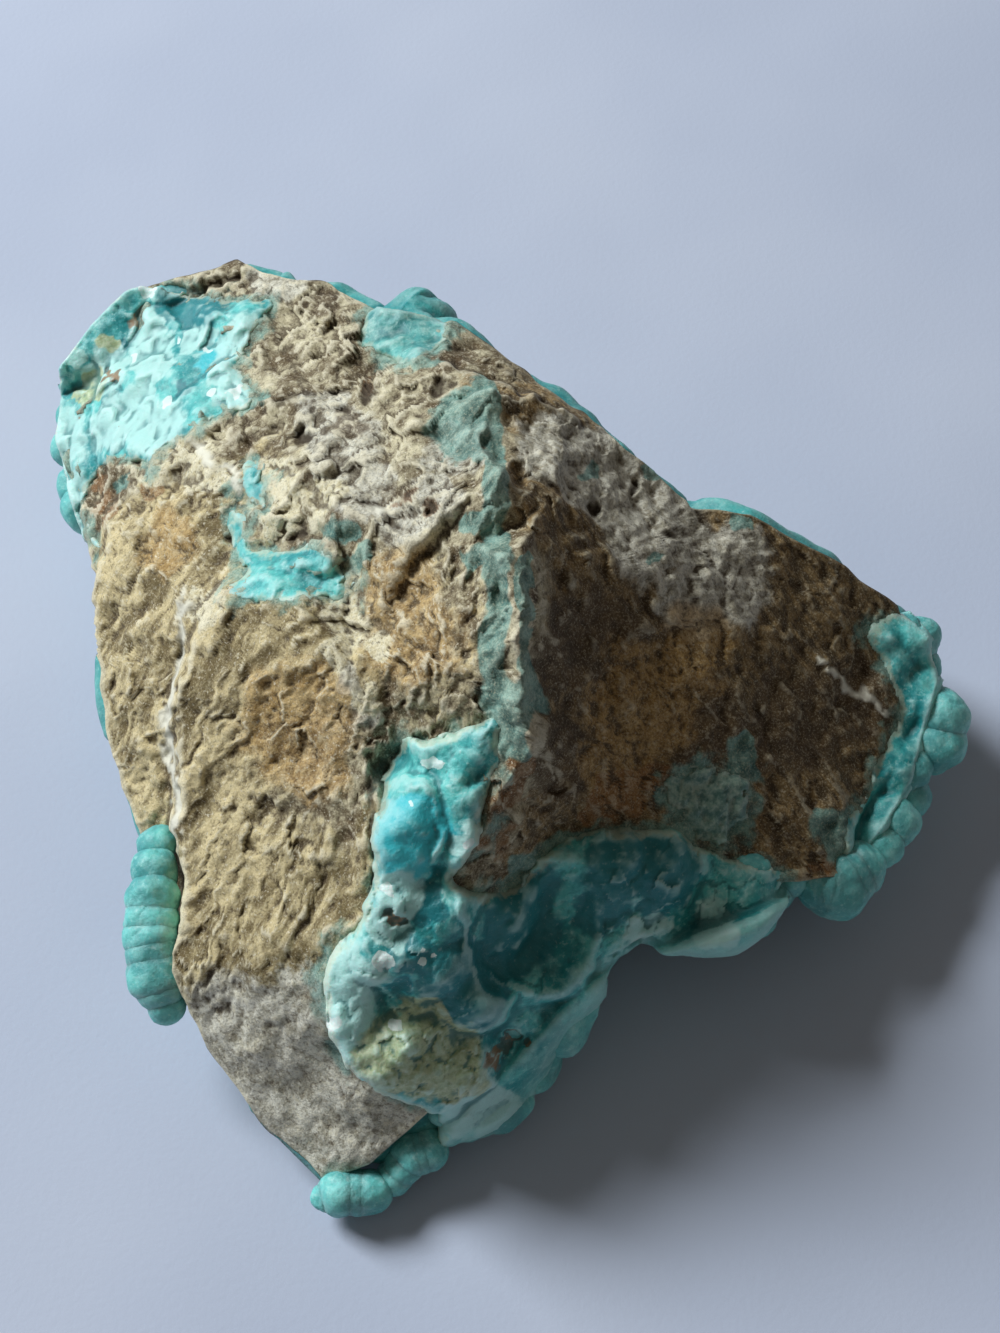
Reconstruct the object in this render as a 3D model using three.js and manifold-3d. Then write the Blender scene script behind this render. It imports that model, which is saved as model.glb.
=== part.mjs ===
// A hemimorphite hand specimen: a wedge of broken brown stone, pale where it was struck, whose lower and
// rear sides carry a blue-green crust of round lobes. The crust wraps the edges of the stone, swells into
// a heavy mass at the front and lines a small pocket near the top.
//
// Millimetres, +Z up. The specimen rests on four flattened lobes of the crust at z = 0.
//
// The stone is star-shaped: seen from CORE, every direction meets its surface once. Its surveyed points are
// joined by flat facets, which are then halved and roughened on the broken side. The crust is two sheets
// over the plane of the break, one on its outward and one on its inward side. They follow the far sides of
// the lobes, join at the outline, and have the stone and the ground taken out of them.

import * as THREE from 'three';
import { ConvexHull } from 'three/addons/math/ConvexHull.js';
import { mergeVertices } from 'three/addons/utils/BufferGeometryUtils.js';
import Module from 'manifold-3d';

// ---------------------------------------------------------------- driving dimensions

const CORE = new THREE.Vector3( - 2.5, 0, 17 );      // the point inside the stone that all radii start from
const ACROSS = new THREE.Vector3( 1, 0, 0 );         // the plane of the break: one axis across it,
const UPHILL = new THREE.Vector3( 0, 0.866, 0.5 );   // one up it,
const OUTWARD = new THREE.Vector3( 0, - 0.5, 0.866 ); // and the way that the broken faces look
const STONE_EDGE = 4.1;        // longest facet edge on the broken side
const HIDDEN_EDGE = 11;        // longest facet edge under the crust
const STONE_RELIEF = 0.9;      // height of the roughest broken ground
const RELIEF_SCALE = 4.5;      // spacing of its bumps
const FINE_SCALE = RELIEF_SCALE / 2.3; // spacing of the finer bumps on them
const FINE_SHARE = 0.6;        // height of the finer bumps, as a share of the height of the others
const STONE_ROUNDS = 5;        // how often the stone's edges are halved at most
const CRUST_CELLS = 30;        // cells along each side of the square grid that each sheet is folded from
const CRUST_COAT = 1.1;        // least thickness of the crust on the hidden sides
const CRUST_SINK = 1.5;        // how far the unused part of the crust's sheets lies under the stone
const SLACK = 1e-5;            // share of a facet by which a place on its edge may seem to miss it
const EDGE_SLACK = 1e-6;       // the same where a ray meets a facet
const LEAST_SHEET = 0.1;       // least thickness between the two sheets there
const CRUST_GAP = 0.5;         // clearance between the crust and the stone, along the radius
const LOBE_SPACING = 7.5;      // least distance between two lobes that grow on the hidden sides
const LOBE_RADIUS = [ 4.4, 6.2 ];
const HIDDEN_LEAN = - 0.12;    // a facet turned this far from the break, or further, carries lobes
const LOBE_DEPTH = 0.5;        // share of a hidden lobe's radius that lies inside the stone
const LOBE_TRIES = 1400;       // directions that are tried for a hidden lobe
const SIZE_DRAW = [ 7, 3 ];    // which of the drawn numbers give the hidden lobes their sizes
const LOBE_TURN = 6;           // the most that a lobe of a small heap is turned about each axis, in radians
const GROUND_WIDTH = 200;      // the block of ground that flattens the lobes underneath
const GROUND_DEPTH = 40;

// The front view. A place that shows in it is written seen( pixel across, pixel down, height ): the
// pixel was picked by hand, and the height above the table, in millimetres, was judged by eye. What follows
// the height, such as a radius, is kept as it is. A place that is written [ x, y, z ] was set by hand.

const VIEW_DOWN = 1333;        // height of the view, in pixels
const CENTRE_ACROSS = 500;     // the pixel that shows the place looked at
const CENTRE_DOWN = 690;
const FILM = 36;               // height of the film that the view fills
const LENS = 50;               // focal length
const LOOKED_AT = [ 1.5, - 4, 20 ];
const CAMERA_AWAY = 172;       // from the place looked at to the camera
const CAMERA_TILT = 60;        // how steeply it looks down, in degrees
const SURVEY_STEP = 0.5;       // places are rounded to this, which is finer than the heights are known

// Where the line of sight through a pixel comes down to a height.
function seen( across, down, height, ...rest ) {

	const pixel = FILM / VIEW_DOWN / LENS;
	const right = ( across - CENTRE_ACROSS ) * pixel;
	const up = ( CENTRE_DOWN - down ) * pixel;
	const sin = Math.sin( THREE.MathUtils.degToRad( CAMERA_TILT ) );
	const cos = Math.cos( THREE.MathUtils.degToRad( CAMERA_TILT ) );
	const eye = [ LOOKED_AT[ 0 ], LOOKED_AT[ 1 ] - cos * CAMERA_AWAY, LOOKED_AT[ 2 ] + sin * CAMERA_AWAY ];
	const sight = [ right, cos + up * sin, up * cos - sin ];
	const far = ( height - eye[ 2 ] ) / sight[ 2 ];
	const place = eye.map( ( from, axis ) => Math.round( ( from + sight[ axis ] * far ) / SURVEY_STEP ) );
	return [ ...place.map( steps => steps * SURVEY_STEP ), ...rest ];

}

// The surveyed points of the stone, and how rough the ground round them is, from 0 to 1.

const STONE = {
	crest: { rough: 0.4, points: [
		seen( 452, 318, 34 ), seen( 437, 352, 38 ), seen( 490, 395, 44 ), seen( 497, 470, 47 ),
		seen( 505, 550, 48 ), seen( 522, 640, 45 ), seen( 532, 740, 40 ), seen( 503, 800, 35 ),
		seen( 458, 884, 29 ),
	] },
	slope_foot: { rough: 0.7, points: [
		seen( 560, 850, 24 ), seen( 610, 835, 23 ), seen( 665, 822, 22 ), seen( 700, 850, 19.5 ),
		seen( 775, 885, 15.5 ), seen( 850, 880, 13 ), seen( 872, 790, 13 ), seen( 925, 705, 13 ),
		seen( 940, 662, 13.5 ), seen( 862, 580, 22 ), seen( 902, 604, 19 ),
	] },
	back_rim: { rough: 0.4, points: [
		seen( 522, 397, 42 ), seen( 560, 422, 40 ), seen( 600, 437, 37.5 ), seen( 640, 452, 35.5 ),
		seen( 665, 487, 33.5 ), seen( 700, 505, 31.5 ), seen( 757, 513, 29.5 ), seen( 803, 541, 26.5 ),
		seen( 848, 565, 23.5 ),
	] },
	long_slope: { rough: 0.45, points: [
		seen( 600, 560, 38.5 ), seen( 640, 700, 30 ), seen( 722, 690, 26.5 ), seen( 745, 800, 20.5 ),
		seen( 810, 640, 22.5 ), seen( 820, 760, 17.5 ), seen( 565, 700, 36 ), seen( 700, 590, 31.5 ),
		seen( 545, 500, 43.5 ), seen( 580, 790, 28.5 ),
	] },
	grey_block: { rough: 0.6, points: [
		seen( 480, 430, 43 ), seen( 478, 540, 45.5 ), seen( 412, 540, 43 ), seen( 335, 500, 39.5 ),
		seen( 440, 400, 40 ), seen( 395, 440, 39.5 ),
	] },
	brown_block: { rough: 0.5, points: [
		seen( 365, 560, 38.5 ), seen( 420, 553, 41 ), seen( 480, 575, 44.5 ), seen( 482, 650, 43 ),
		seen( 448, 692, 39.5 ), seen( 470, 708, 38.5 ), seen( 432, 728, 35 ), seen( 385, 700, 35.5 ),
		seen( 378, 620, 37.5 ),
	] },
	pale_band: { rough: 0.7, points: [
		seen( 352, 640, 36 ), seen( 385, 775, 31 ), seen( 362, 752, 33 ), seen( 400, 760, 32 ),
	] },
	large_facet: { rough: 0.12, points: [
		seen( 208, 612, 32 ), seen( 285, 604, 36 ), seen( 325, 650, 37 ), seen( 355, 685, 36.5 ),
		seen( 372, 800, 32.5 ), seen( 376, 885, 28.5 ), seen( 332, 945, 24 ), seen( 170, 976, 15 ),
		seen( 185, 880, 18.5 ), seen( 183, 780, 23 ), seen( 183, 690, 28 ),
	] },
	left_facet: { rough: 0.25, points: [
		seen( 110, 548, 22 ), seen( 155, 505, 26 ), seen( 225, 478, 30.5 ), seen( 238, 570, 31 ),
		seen( 198, 615, 28.5 ), seen( 172, 680, 23.5 ), seen( 168, 780, 17.5 ), seen( 178, 832, 13.5 ),
		seen( 135, 838, 11 ), seen( 107, 750, 13.5 ), seen( 92, 665, 16 ), seen( 95, 595, 19 ),
	] },
	front_facet: { rough: 0.55, points: [
		seen( 203, 1050, 9 ), seen( 250, 1115, 5.5 ), seen( 322, 1188, 3 ), seen( 372, 1165, 6 ),
		seen( 438, 1115, 10 ), seen( 355, 1072, 14 ), seen( 322, 1010, 19 ), seen( 250, 1020, 14.5 ),
	] },
	broken_ground: { rough: 1, points: [
		seen( 262, 345, 28.5 ), seen( 292, 303, 28.5 ), seen( 352, 345, 33 ), seen( 378, 372, 35 ),
		seen( 248, 395, 30 ), seen( 340, 432, 37 ), seen( 262, 520, 33.5 ), seen( 315, 480, 36.5 ),
		seen( 300, 545, 34 ), seen( 222, 432, 29.5 ), seen( 345, 580, 36 ), seen( 300, 400, 32 ),
	] },
	upper_end: { rough: 0.8, points: [
		seen( 140, 285, 20 ), seen( 98, 330, 17 ), seen( 66, 375, 14 ), seen( 58, 440, 12.5 ),
		seen( 88, 520, 15 ), seen( 150, 455, 24 ), seen( 205, 400, 27 ), seen( 190, 345, 24 ),
		seen( 180, 275, 22 ), seen( 235, 257, 24.5 ), seen( 262, 270, 26 ), seen( 330, 281, 29 ),
		seen( 347, 300, 31 ), seen( 110, 420, 19 ), seen( 232, 300, 26 ), seen( 385, 310, 32 ),
		seen( 120, 490, 21 ),
	] },
};

// The points of the stone under the crust: the rear wall, the lower edge and the bottom.

const HIDDEN = [
	[ - 38.5, 41, 6 ], [ - 24.5, 46, 8 ], [ - 8.5, 41, 10 ], [ - 2, 33.5, 14 ], [ 5, 23, 15 ],
	[ 14, 19.5, 13 ], [ 22, 16.5, 11 ], [ 31, 13.5, 9 ], [ 39.5, 9.5, 7 ], [ 43, 4, 6 ],
	[ 40.5, - 6, 6 ], [ 34.5, - 15, 6 ], [ 21.5, - 17.5, 7 ], [ 7.5, - 25, 7 ], [ - 2.5, - 35, 5 ],
	[ - 13, - 42.5, 2.5 ], [ - 22.5, - 35, 4 ], [ - 28.5, - 24, 6 ], [ - 34, - 9, 7 ], [ - 37.5, 6, 7 ],
	[ - 42, 22, 7 ], [ - 41.5, 34, 6 ],
	[ - 13.5, 14, 4.5 ], [ 11.5, 4, 5 ], [ - 6.5, - 16, 4.5 ], [ - 26.5, 24, 4 ], [ 26.5, 2, 4.5 ],
];

// The lobes of the crust that were surveyed one by one, each with its radius last.

const LOBES = {
	long_dome: [ seen( 418, 808, 32.5, 2.9 ), seen( 408, 838, 31, 3.4 ), seen( 399, 868, 29, 3 ) ],
	side_dome: [
		seen( 430, 748, 35, 1.9 ), seen( 455, 765, 34, 2.6 ), seen( 480, 748, 36, 2.3 ),
		seen( 466, 800, 33, 2.8 ), seen( 468, 838, 31, 2.9 ), seen( 457, 866, 29, 2.2 ),
	],
	neck: [
		seen( 392, 905, 27, 3 ), seen( 432, 902, 26.5, 3.4 ), seen( 468, 905, 25.5, 3 ),
		seen( 385, 950, 24.5, 3.3 ), seen( 430, 950, 23.5, 4 ), seen( 470, 985, 19.5, 4 ),
		seen( 405, 984, 20, 2.8 ),
	],
	cheek: [
		[ - 11, - 32, 22, 3.2 ], [ - 11.5, - 34.5, 19.5, 3.4 ], [ - 11, - 37, 17, 3.6 ],
		seen( 374, 1072, 14, 3 ),
	],
	pale_dome: [ seen( 398, 1040, 15.5, 5 ), seen( 450, 1055, 12.5, 4.6 ), seen( 432, 1085, 10.5, 3.6 ) ],
	bowl_wall: [ seen( 530, 930, 17, 7 ) ],
	front_right: [
		seen( 563, 967, 10.5, 4.6 ), seen( 548, 1005, 8, 5 ), seen( 510, 1000, 12, 4.2 ),
		seen( 527, 1055, 5, 3.9 ), seen( 497, 1097, 4.5, 3.8 ), seen( 473, 1108, 4.5, 3.4 ),
		seen( 455, 1095, 7, 3.4 ), seen( 487, 1040, 9.5, 4.2 ),
	],
	front_toe: [
		seen( 345, 1192, 3.2, 2.5 ), seen( 368, 1189, 3, 2.3 ), seen( 324, 1195, 3.2, 1.4 ),
		[ - 8, - 44.5, 3, 1.8 ], seen( 410, 1152, 4.6, 2 ), seen( 430, 1145, 4.6, 2 ),
	],
	apron_top: [
		seen( 545, 870, 22.5, 3 ), seen( 575, 878, 20, 4 ), seen( 605, 868, 20, 4.2 ),
		seen( 643, 862, 19, 4.2 ), seen( 672, 868, 18, 3.4 ), seen( 575, 925, 14.5, 5 ),
		seen( 612, 905, 15, 4.6 ), seen( 650, 898, 14.5, 4.4 ),
	],
	apron_rim: [
		seen( 640, 915, 12, 2.6 ), seen( 662, 922, 10.5, 3 ), seen( 690, 920, 10, 3.2 ),
		seen( 722, 920, 9.5, 3.6 ), seen( 745, 905, 10, 3.4 ), seen( 765, 890, 11, 3.2 ),
		seen( 705, 885, 14, 4.2 ), seen( 738, 872, 14, 4 ), seen( 785, 875, 12, 2.6 ),
	],
	right_edge: [
		seen( 838, 885, 10.5, 3.2 ), seen( 858, 872, 10.5, 2.7 ), seen( 822, 886, 10.8, 2.6 ),
		seen( 880, 845, 9.5, 2.6 ), seen( 893, 820, 9.5, 3 ), seen( 908, 795, 9, 2.7 ),
		seen( 905, 770, 10.5, 3.2 ), seen( 930, 745, 10.5, 3.5 ), seen( 938, 718, 11.8, 3.2 ),
		seen( 922, 695, 13, 2.4 ), seen( 916, 640, 15, 2.9 ), seen( 903, 635, 16, 2.6 ),
		seen( 918, 665, 13.5, 2.5 ),
	],
	left_edge: [
		seen( 156, 845, 14, 1.9 ), seen( 155, 902, 14, 2.6 ), seen( 153, 938, 13, 2.7 ),
		seen( 155, 972, 11.8, 2.9 ), seen( 165, 1000, 10.5, 1.9 ), [ - 37.5, 9.5, 16, 1.4 ],
		[ - 37.5, 6.5, 15.5, 1.3 ], [ - 37.5, 3.5, 15, 1.2 ],
	],
	upper_edge: [
		seen( 66, 420, 12.5, 3 ), seen( 64, 455, 11, 2.8 ), seen( 70, 490, 10, 3 ),
		seen( 78, 515, 10, 2.9 ), seen( 102, 535, 14, 2.3 ),
	],
	upper_patch: [
		seen( 95, 350, 17, 2.6 ), seen( 84, 385, 15.5, 3 ), seen( 80, 440, 14.5, 3 ),
		seen( 102, 440, 16.5, 2.6 ), seen( 115, 400, 19, 2.8 ), seen( 130, 350, 19.5, 2.6 ),
		seen( 112, 375, 18.5, 2.4 ), seen( 140, 430, 21, 2.6 ), seen( 150, 395, 22.5, 3.2 ),
		seen( 175, 375, 24, 3 ), seen( 205, 372, 26, 3.2 ), seen( 230, 385, 28, 2.4 ),
		seen( 225, 345, 26.5, 3 ), seen( 165, 325, 22, 2.8 ), seen( 150, 300, 21, 2.4 ),
		seen( 245, 320, 27.5, 2.6 ), seen( 215, 408, 28, 2.2 ), seen( 180, 425, 25.5, 2 ),
		seen( 130, 458, 20, 1.8 ), seen( 95, 470, 16.5, 2.2 ), seen( 270, 300, 27.5, 2 ),
		seen( 205, 300, 24, 2.4 ),
	],
	rear_dome: [
		seen( 408, 328, 31.5, 3.4 ), seen( 392, 338, 31.5, 2.8 ), seen( 425, 348, 32.5, 2.2 ),
		[ - 6.5, 34, 27, 4 ],
	],
	crest_seam: [
		[ 2, - 3, 47, 1.7 ], [ 2, - 7, 47.2, 1.7 ], [ 2.5, - 10.5, 46.5, 1.7 ], [ 3, - 14, 44.5, 1.7 ],
		[ 3, - 16.5, 42.5, 1.8 ], [ 3, - 18.5, 40.5, 2 ], [ 2, - 19, 38.5, 2.2 ],
	],
	feet: [ [ - 11, - 34, 5.5, 6 ], [ 31, - 3, 5.5, 6 ], [ - 33, 27, 5.5, 6 ], [ 3, 17, 5.5, 6 ] ],
};

const POCKET_LOBES = [
	[ - 20.5, 0, 32, 2 ], [ - 18, - 1, 33, 2 ], [ - 16, - 1.5, 34.5, 2.4 ], [ - 14.5, 0, 35, 2.2 ],
	[ - 12.5, - 2.5, 36, 2 ],
];

const SLOPE_LOBES = [ [ 20.5, - 14.5, 22, 2.4 ], [ 21.5, - 16.5, 21, 2.6 ], [ 22.5, - 17.5, 20, 2.4 ] ];

// A hollow in the front mass, between its thin rim and the foot of the long slope, [x, y, z, radius].

const BOWL = [ 6, - 31, 24.5, 7 ];

// ---------------------------------------------------------------- numbers that only look random

// One number from 0 to 1 for a whole-numbered place.
function hash( x, y, z ) {

	let h = Math.imul( x, 374761393 ) + Math.imul( y, 668265263 ) + Math.imul( z, 1442695041 );
	h = Math.imul( h ^ ( h >>> 13 ), 1274126177 );
	return ( ( h ^ ( h >>> 16 ) ) >>> 0 ) / 4294967296;

}

// Smooth noise from -1 to 1, blended between the eight corners of the place's unit cell.
function noise( p ) {

	const cell = p.clone().floor();
	const t = p.clone().sub( cell );
	const ease = [ t.x, t.y, t.z ].map( v => v * v * ( 3 - 2 * v ) );
	let sum = 0;
	for ( let corner = 0; corner < 8; corner ++ ) {

		const step = [ corner & 1, ( corner >> 1 ) & 1, corner >> 2 ];
		const share = step.reduce( ( s, on, axis ) => s * ( on ? ease[ axis ] : 1 - ease[ axis ] ), 1 );
		sum += share * hash( cell.x + step[ 0 ], cell.y + step[ 1 ], cell.z + step[ 2 ] );

	}

	return 2 * sum - 1;

}

// ---------------------------------------------------------------- skins of flat facets

// Joins points round CORE into a closed skin: the hull of their directions gives each facet's corners.
function skinOf( points ) {

	const directions = points.map( p => p.clone().sub( CORE ).normalize() );
	const index = new Map( directions.map( ( d, i ) => [ d, i ] ) );
	const hull = new ConvexHull().setFromPoints( directions );
	const facets = hull.faces.map( face => [ 0, 1, 2 ].map( k => index.get( face.getEdge( k ).head().point ) ) );
	return { points, facets };

}

// Splits every edge that isLong( a, b ) at a new point, place( a, b ), and again up to so many rounds.
function refine( skin, isLong, place, rounds ) {

	const points = [ ...skin.points ];
	let facets = skin.facets;
	for ( let round = 0; round < rounds; round ++ ) {

		const middles = new Map();
		const middle = ( a, b ) => {

			const key = Math.min( a, b ) + '_' + Math.max( a, b );
			if ( ! middles.has( key ) ) {

				const long = isLong( points[ a ], points[ b ] );
				middles.set( key, long ? points.push( place( points[ a ], points[ b ] ) ) - 1 : - 1 );

			}

			return middles.get( key );

		};

		facets = facets.flatMap( facet => splitFacet( facet, middle ) );

	}

	return { points, facets };

}

// One facet cut at the middles of its long edges, into one to four.
function splitFacet( [ a, b, c ], middle ) {

	const cut = [ middle( a, b ), middle( b, c ), middle( c, a ) ];
	const count = cut.filter( m => m >= 0 ).length;
	if ( count === 0 ) return [ [ a, b, c ] ];
	if ( count === 3 ) return [ [ a, cut[ 0 ], cut[ 2 ] ], [ cut[ 0 ], b, cut[ 1 ] ],
		[ cut[ 2 ], cut[ 1 ], c ], cut ];

	// Turn the facet so that its first edge is cut and, of two cut edges, the last is whole.
	const turn = [ 0, 1, 2 ].find( k => cut[ k ] >= 0 && ( count === 1 || cut[ ( k + 2 ) % 3 ] < 0 ) );
	const [ p, q, r ] = [ 0, 1, 2 ].map( k => [ a, b, c ][ ( k + turn ) % 3 ] );
	const m = cut[ turn ];
	const n = cut[ ( turn + 1 ) % 3 ];
	if ( count === 1 ) return [ [ p, m, r ], [ m, q, r ] ];
	return [ [ p, m, r ], [ m, q, n ], [ m, n, r ] ];

}

// The distance from CORE to a skin of flat facets along a unit direction, and the facet that is met.
function meet( skin, direction ) {

	for ( const facet of skin.facets ) {

		const [ a, b, c ] = facet.map( k => skin.points[ k ].clone().sub( CORE ) );
		const normal = b.clone().sub( a ).cross( c.clone().sub( a ) );
		const reach = normal.dot( a ) / normal.dot( direction );
		if ( ! ( reach > 0 ) ) continue;
		const hit = direction.clone().multiplyScalar( reach );
		const inside = [ [ a, b ], [ b, c ], [ c, a ] ].every( ( [ p, q ] ) =>
			q.clone().sub( p ).cross( hit.clone().sub( p ) ).dot( normal ) >= - EDGE_SLACK * normal.lengthSq() );
		if ( inside ) return { reach, normal: normal.normalize() };

	}

	throw new Error( 'the skin has a hole' );

}

// ---------------------------------------------------------------- the stone

const surveyed = Object.values( STONE ).flatMap( part =>
	part.points.map( p => Object.assign( new THREE.Vector3( ...p ), { rough: part.rough } ) ) );
const hidden = HIDDEN.map( p => Object.assign( new THREE.Vector3( ...p ), { rough: 0, hidden: true } ) );
const cage = skinOf( [ ...surveyed, ...hidden ] );

// A point between two others; a point added to a facet can be pushed off it, a surveyed one stays.
function middleOnFacet( a, b ) {

	const traits = { rough: ( a.rough + b.rough ) / 2, hidden: a.hidden || b.hidden, added: true };
	return Object.assign( a.clone().lerp( b, 0.5 ), traits );

}

// An added point pushed in or out along its radius, as far as the ground there is rough.
function brokenGround( point ) {

	if ( ! point.added || point.hidden ) return point;
	const coarse = noise( point.clone().divideScalar( RELIEF_SCALE ) );
	const fine = noise( point.clone().divideScalar( FINE_SCALE ) );
	const lift = STONE_RELIEF * point.rough * ( coarse + FINE_SHARE * fine );
	return point.clone().addScaledVector( point.clone().sub( CORE ).normalize(), lift );

}

const cageOnBreak = cage.facets.map( facet => facet.map( k => onBreak( cage.points[ k ] ) ) );
const isLongOnStone = ( a, b ) => a.distanceTo( b ) > ( a.hidden || b.hidden ? HIDDEN_EDGE : STONE_EDGE );
const flatStone = refine( cage, isLongOnStone, middleOnFacet, STONE_ROUNDS );
const stone = { points: flatStone.points.map( brokenGround ), facets: flatStone.facets };

// ---------------------------------------------------------------- the crust

// Lobes over every side that looks away from the break: seeds taken in order round a spiral of directions,
// each kept if no lobe is nearer than LOBE_SPACING.
function hiddenLobes() {

	const seeds = [];
	const goldenAngle = Math.PI * ( 3 - Math.sqrt( 5 ) );
	for ( let i = 0; i < LOBE_TRIES; i ++ ) {

		const z = 1 - 2 * ( i + 0.5 ) / LOBE_TRIES;
		const round = Math.sqrt( 1 - z * z );
		const turn = i * goldenAngle;
		const direction = new THREE.Vector3( round * Math.cos( turn ), round * Math.sin( turn ), z );
		const { reach, normal } = meet( cage, direction );
		if ( normal.dot( OUTWARD ) > HIDDEN_LEAN ) continue;
		const foot = CORE.clone().addScaledVector( direction, reach );
		if ( seeds.some( seed => seed.foot.distanceTo( foot ) < LOBE_SPACING ) ) continue;
		const radius = THREE.MathUtils.lerp( ...LOBE_RADIUS, hash( i, ...SIZE_DRAW ) );
		const centre = foot.clone().addScaledVector( normal, - LOBE_DEPTH * radius );
		seeds.push( { foot, ball: [ centre.x, centre.y, centre.z, radius ] } );

	}

	return seeds.map( seed => seed.ball );

}

// A point's place on the plane of the break, [across, uphill, outward], counted from CORE.
function onBreak( point ) {

	const from = point.clone().sub( CORE );
	return [ from.dot( ACROSS ), from.dot( UPHILL ), from.dot( OUTWARD ) ];

}

// How far a straight line from CORE, in the plane of the break, runs before it leaves a flat polygon's edges.
function outlineReach( edges, cos, sin ) {

	return Math.max( 0, ...edges.map( ( [ p, q ] ) => {

		const [ sideP, sideQ ] = [ p, q ].map( v => cos * v[ 1 ] - sin * v[ 0 ] );
		if ( sideP * sideQ > 0 || sideP === sideQ ) return 0;
		const share = sideP / ( sideP - sideQ );
		return [ p, q ].map( v => cos * v[ 0 ] + sin * v[ 1 ] ).reduce( ( u, v ) => u + share * ( v - u ) );

	} ) );

}

// The same for a lobe: how far the line runs before it leaves the lobe's round outline.
function lobeReach( lobe, cos, sin ) {

	const along = cos * lobe.at[ 0 ] + sin * lobe.at[ 1 ];
	const inside = lobe.radius ** 2 - ( cos * lobe.at[ 1 ] - sin * lobe.at[ 0 ] ) ** 2;
	return inside < 0 ? 0 : along + Math.sqrt( inside );

}

// The highest and lowest outward level of the stone's facets over one place on the break.
function stoneLevels( across, uphill ) {

	const levels = [];
	for ( const [ a, b, c ] of cageOnBreak ) {

		const area = ( b[ 0 ] - a[ 0 ] ) * ( c[ 1 ] - a[ 1 ] ) - ( c[ 0 ] - a[ 0 ] ) * ( b[ 1 ] - a[ 1 ] );
		const u = ( ( across - a[ 0 ] ) * ( c[ 1 ] - a[ 1 ] ) - ( c[ 0 ] - a[ 0 ] ) * ( uphill - a[ 1 ] ) ) / area;
		const v = ( ( b[ 0 ] - a[ 0 ] ) * ( uphill - a[ 1 ] ) - ( across - a[ 0 ] ) * ( b[ 1 ] - a[ 1 ] ) ) / area;
		const onFacet = u > - SLACK && v > - SLACK && u + v < 1 + SLACK;
		if ( onFacet ) levels.push( a[ 2 ] + u * ( b[ 2 ] - a[ 2 ] ) + v * ( c[ 2 ] - a[ 2 ] ) );

	}

	return levels;

}

// The crust's outward or inward level: the furthest lobe, cut back by the hollow, or the stone and its coat.
function crustLevel( lobes, hollow, across, uphill, side, coat ) {

	const bulge = ( ball, way ) => {

		const inside = ball.radius ** 2 - ( across - ball.at[ 0 ] ) ** 2 - ( uphill - ball.at[ 1 ] ) ** 2;
		return inside < 0 ? - Infinity : side * ball.at[ 2 ] + way * Math.sqrt( inside );

	};

	const coated = stoneLevels( across, uphill ).map( level => side * level + coat );
	let level = Math.max( ...lobes.map( ball => bulge( ball, 1 ) ) );
	const scoop = side > 0 ? bulge( hollow, - 1 ) : - Infinity;
	if ( scoop > - Infinity ) level = Math.min( level, scoop );
	return side * Math.max( level, ...coated );

}

// The crust before the stone is taken from it: two sheets over the break's plane, joined at the outline.
// Each sheet is a square grid folded onto a disc, ring by ring, whose rim is stretched to the outline.
function crustSkin( balls, hollow ) {

	const measured = ( [ x, y, z, radius ] ) => ( { at: onBreak( new THREE.Vector3( x, y, z ) ), radius } );
	const lobes = balls.map( measured );
	const scoop = measured( hollow );
	const edges = cageOnBreak.flatMap( ( [ a, b, c ] ) => [ [ a, b ], [ b, c ], [ c, a ] ] );
	const half = CRUST_CELLS / 2;
	const points = [];
	const facets = [];
	const index = new Map();
	const corner = ( i, j, side ) => {

		const ring = Math.max( Math.abs( i ), Math.abs( j ) );
		const key = [ i, j, ring === half ? 0 : side ].join();
		if ( index.has( key ) ) return index.get( key );
		const angle = ring === 0 ? 0 : squareAngle( i, j );
		const [ cos, sin ] = [ Math.cos( angle ), Math.sin( angle ) ];
		const rim = Math.max( outlineReach( edges, cos, sin ) - CRUST_SINK,
			...lobes.map( ball => lobeReach( ball, cos, sin ) ) ) - LEAST_SHEET;
		const [ across, uphill ] = [ cos * rim * ring / half, sin * rim * ring / half ];
		const coats = [ - CRUST_SINK, ring < half - 1 ? CRUST_COAT : - CRUST_SINK ];
		const [ outer, inner ] = [ 1, - 1 ].map( ( way, k ) =>
			crustLevel( lobes, scoop, across, uphill, way, coats[ k ] ) );
		const middle = ( outer + inner ) / 2;
		const thick = Math.max( ( outer - inner ) / 2, LEAST_SHEET );
		const level = ring === half ? middle : middle + side * thick;
		const point = CORE.clone().addScaledVector( ACROSS, across ).addScaledVector( UPHILL, uphill );
		index.set( key, points.push( point.addScaledVector( OUTWARD, level ) ) - 1 );
		return index.get( key );

	};

	for ( let i = - half; i < half; i ++ ) for ( let j = - half; j < half; j ++ ) {

		for ( const side of [ 1, - 1 ] ) {

			const [ a, b, c, d ] = [ [ i, j ], [ i + 1, j ], [ i + 1, j + 1 ], [ i, j + 1 ] ]
				.map( ( [ u, v ] ) => corner( u, v, side ) );
			const towardsCorner = ( i + 0.5 ) * ( j + 0.5 ) > 0;
			const halves = towardsCorner ? [ [ a, b, c ], [ a, c, d ] ] : [ [ a, b, d ], [ b, c, d ] ];
			facets.push( ...( side > 0 ? halves : halves.map( facet => facet.reverse() ) ) );

		}

	}

	return { points, facets };

}

// The angle that a place on the rim of a square gets on the disc: even steps along each of its sides.
function squareAngle( i, j ) {

	if ( Math.abs( i ) >= Math.abs( j ) ) return Math.PI / 4 * j / i + ( i < 0 ? Math.PI : 0 );
	return Math.PI / 2 - Math.PI / 4 * i / j + ( j < 0 ? Math.PI : 0 );

}

// A geometry with nothing but positions, so that equal corners can be merged.
function bare( geometry ) {

	geometry.deleteAttribute( 'normal' );
	geometry.deleteAttribute( 'uv' );
	return geometry;

}

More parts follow.
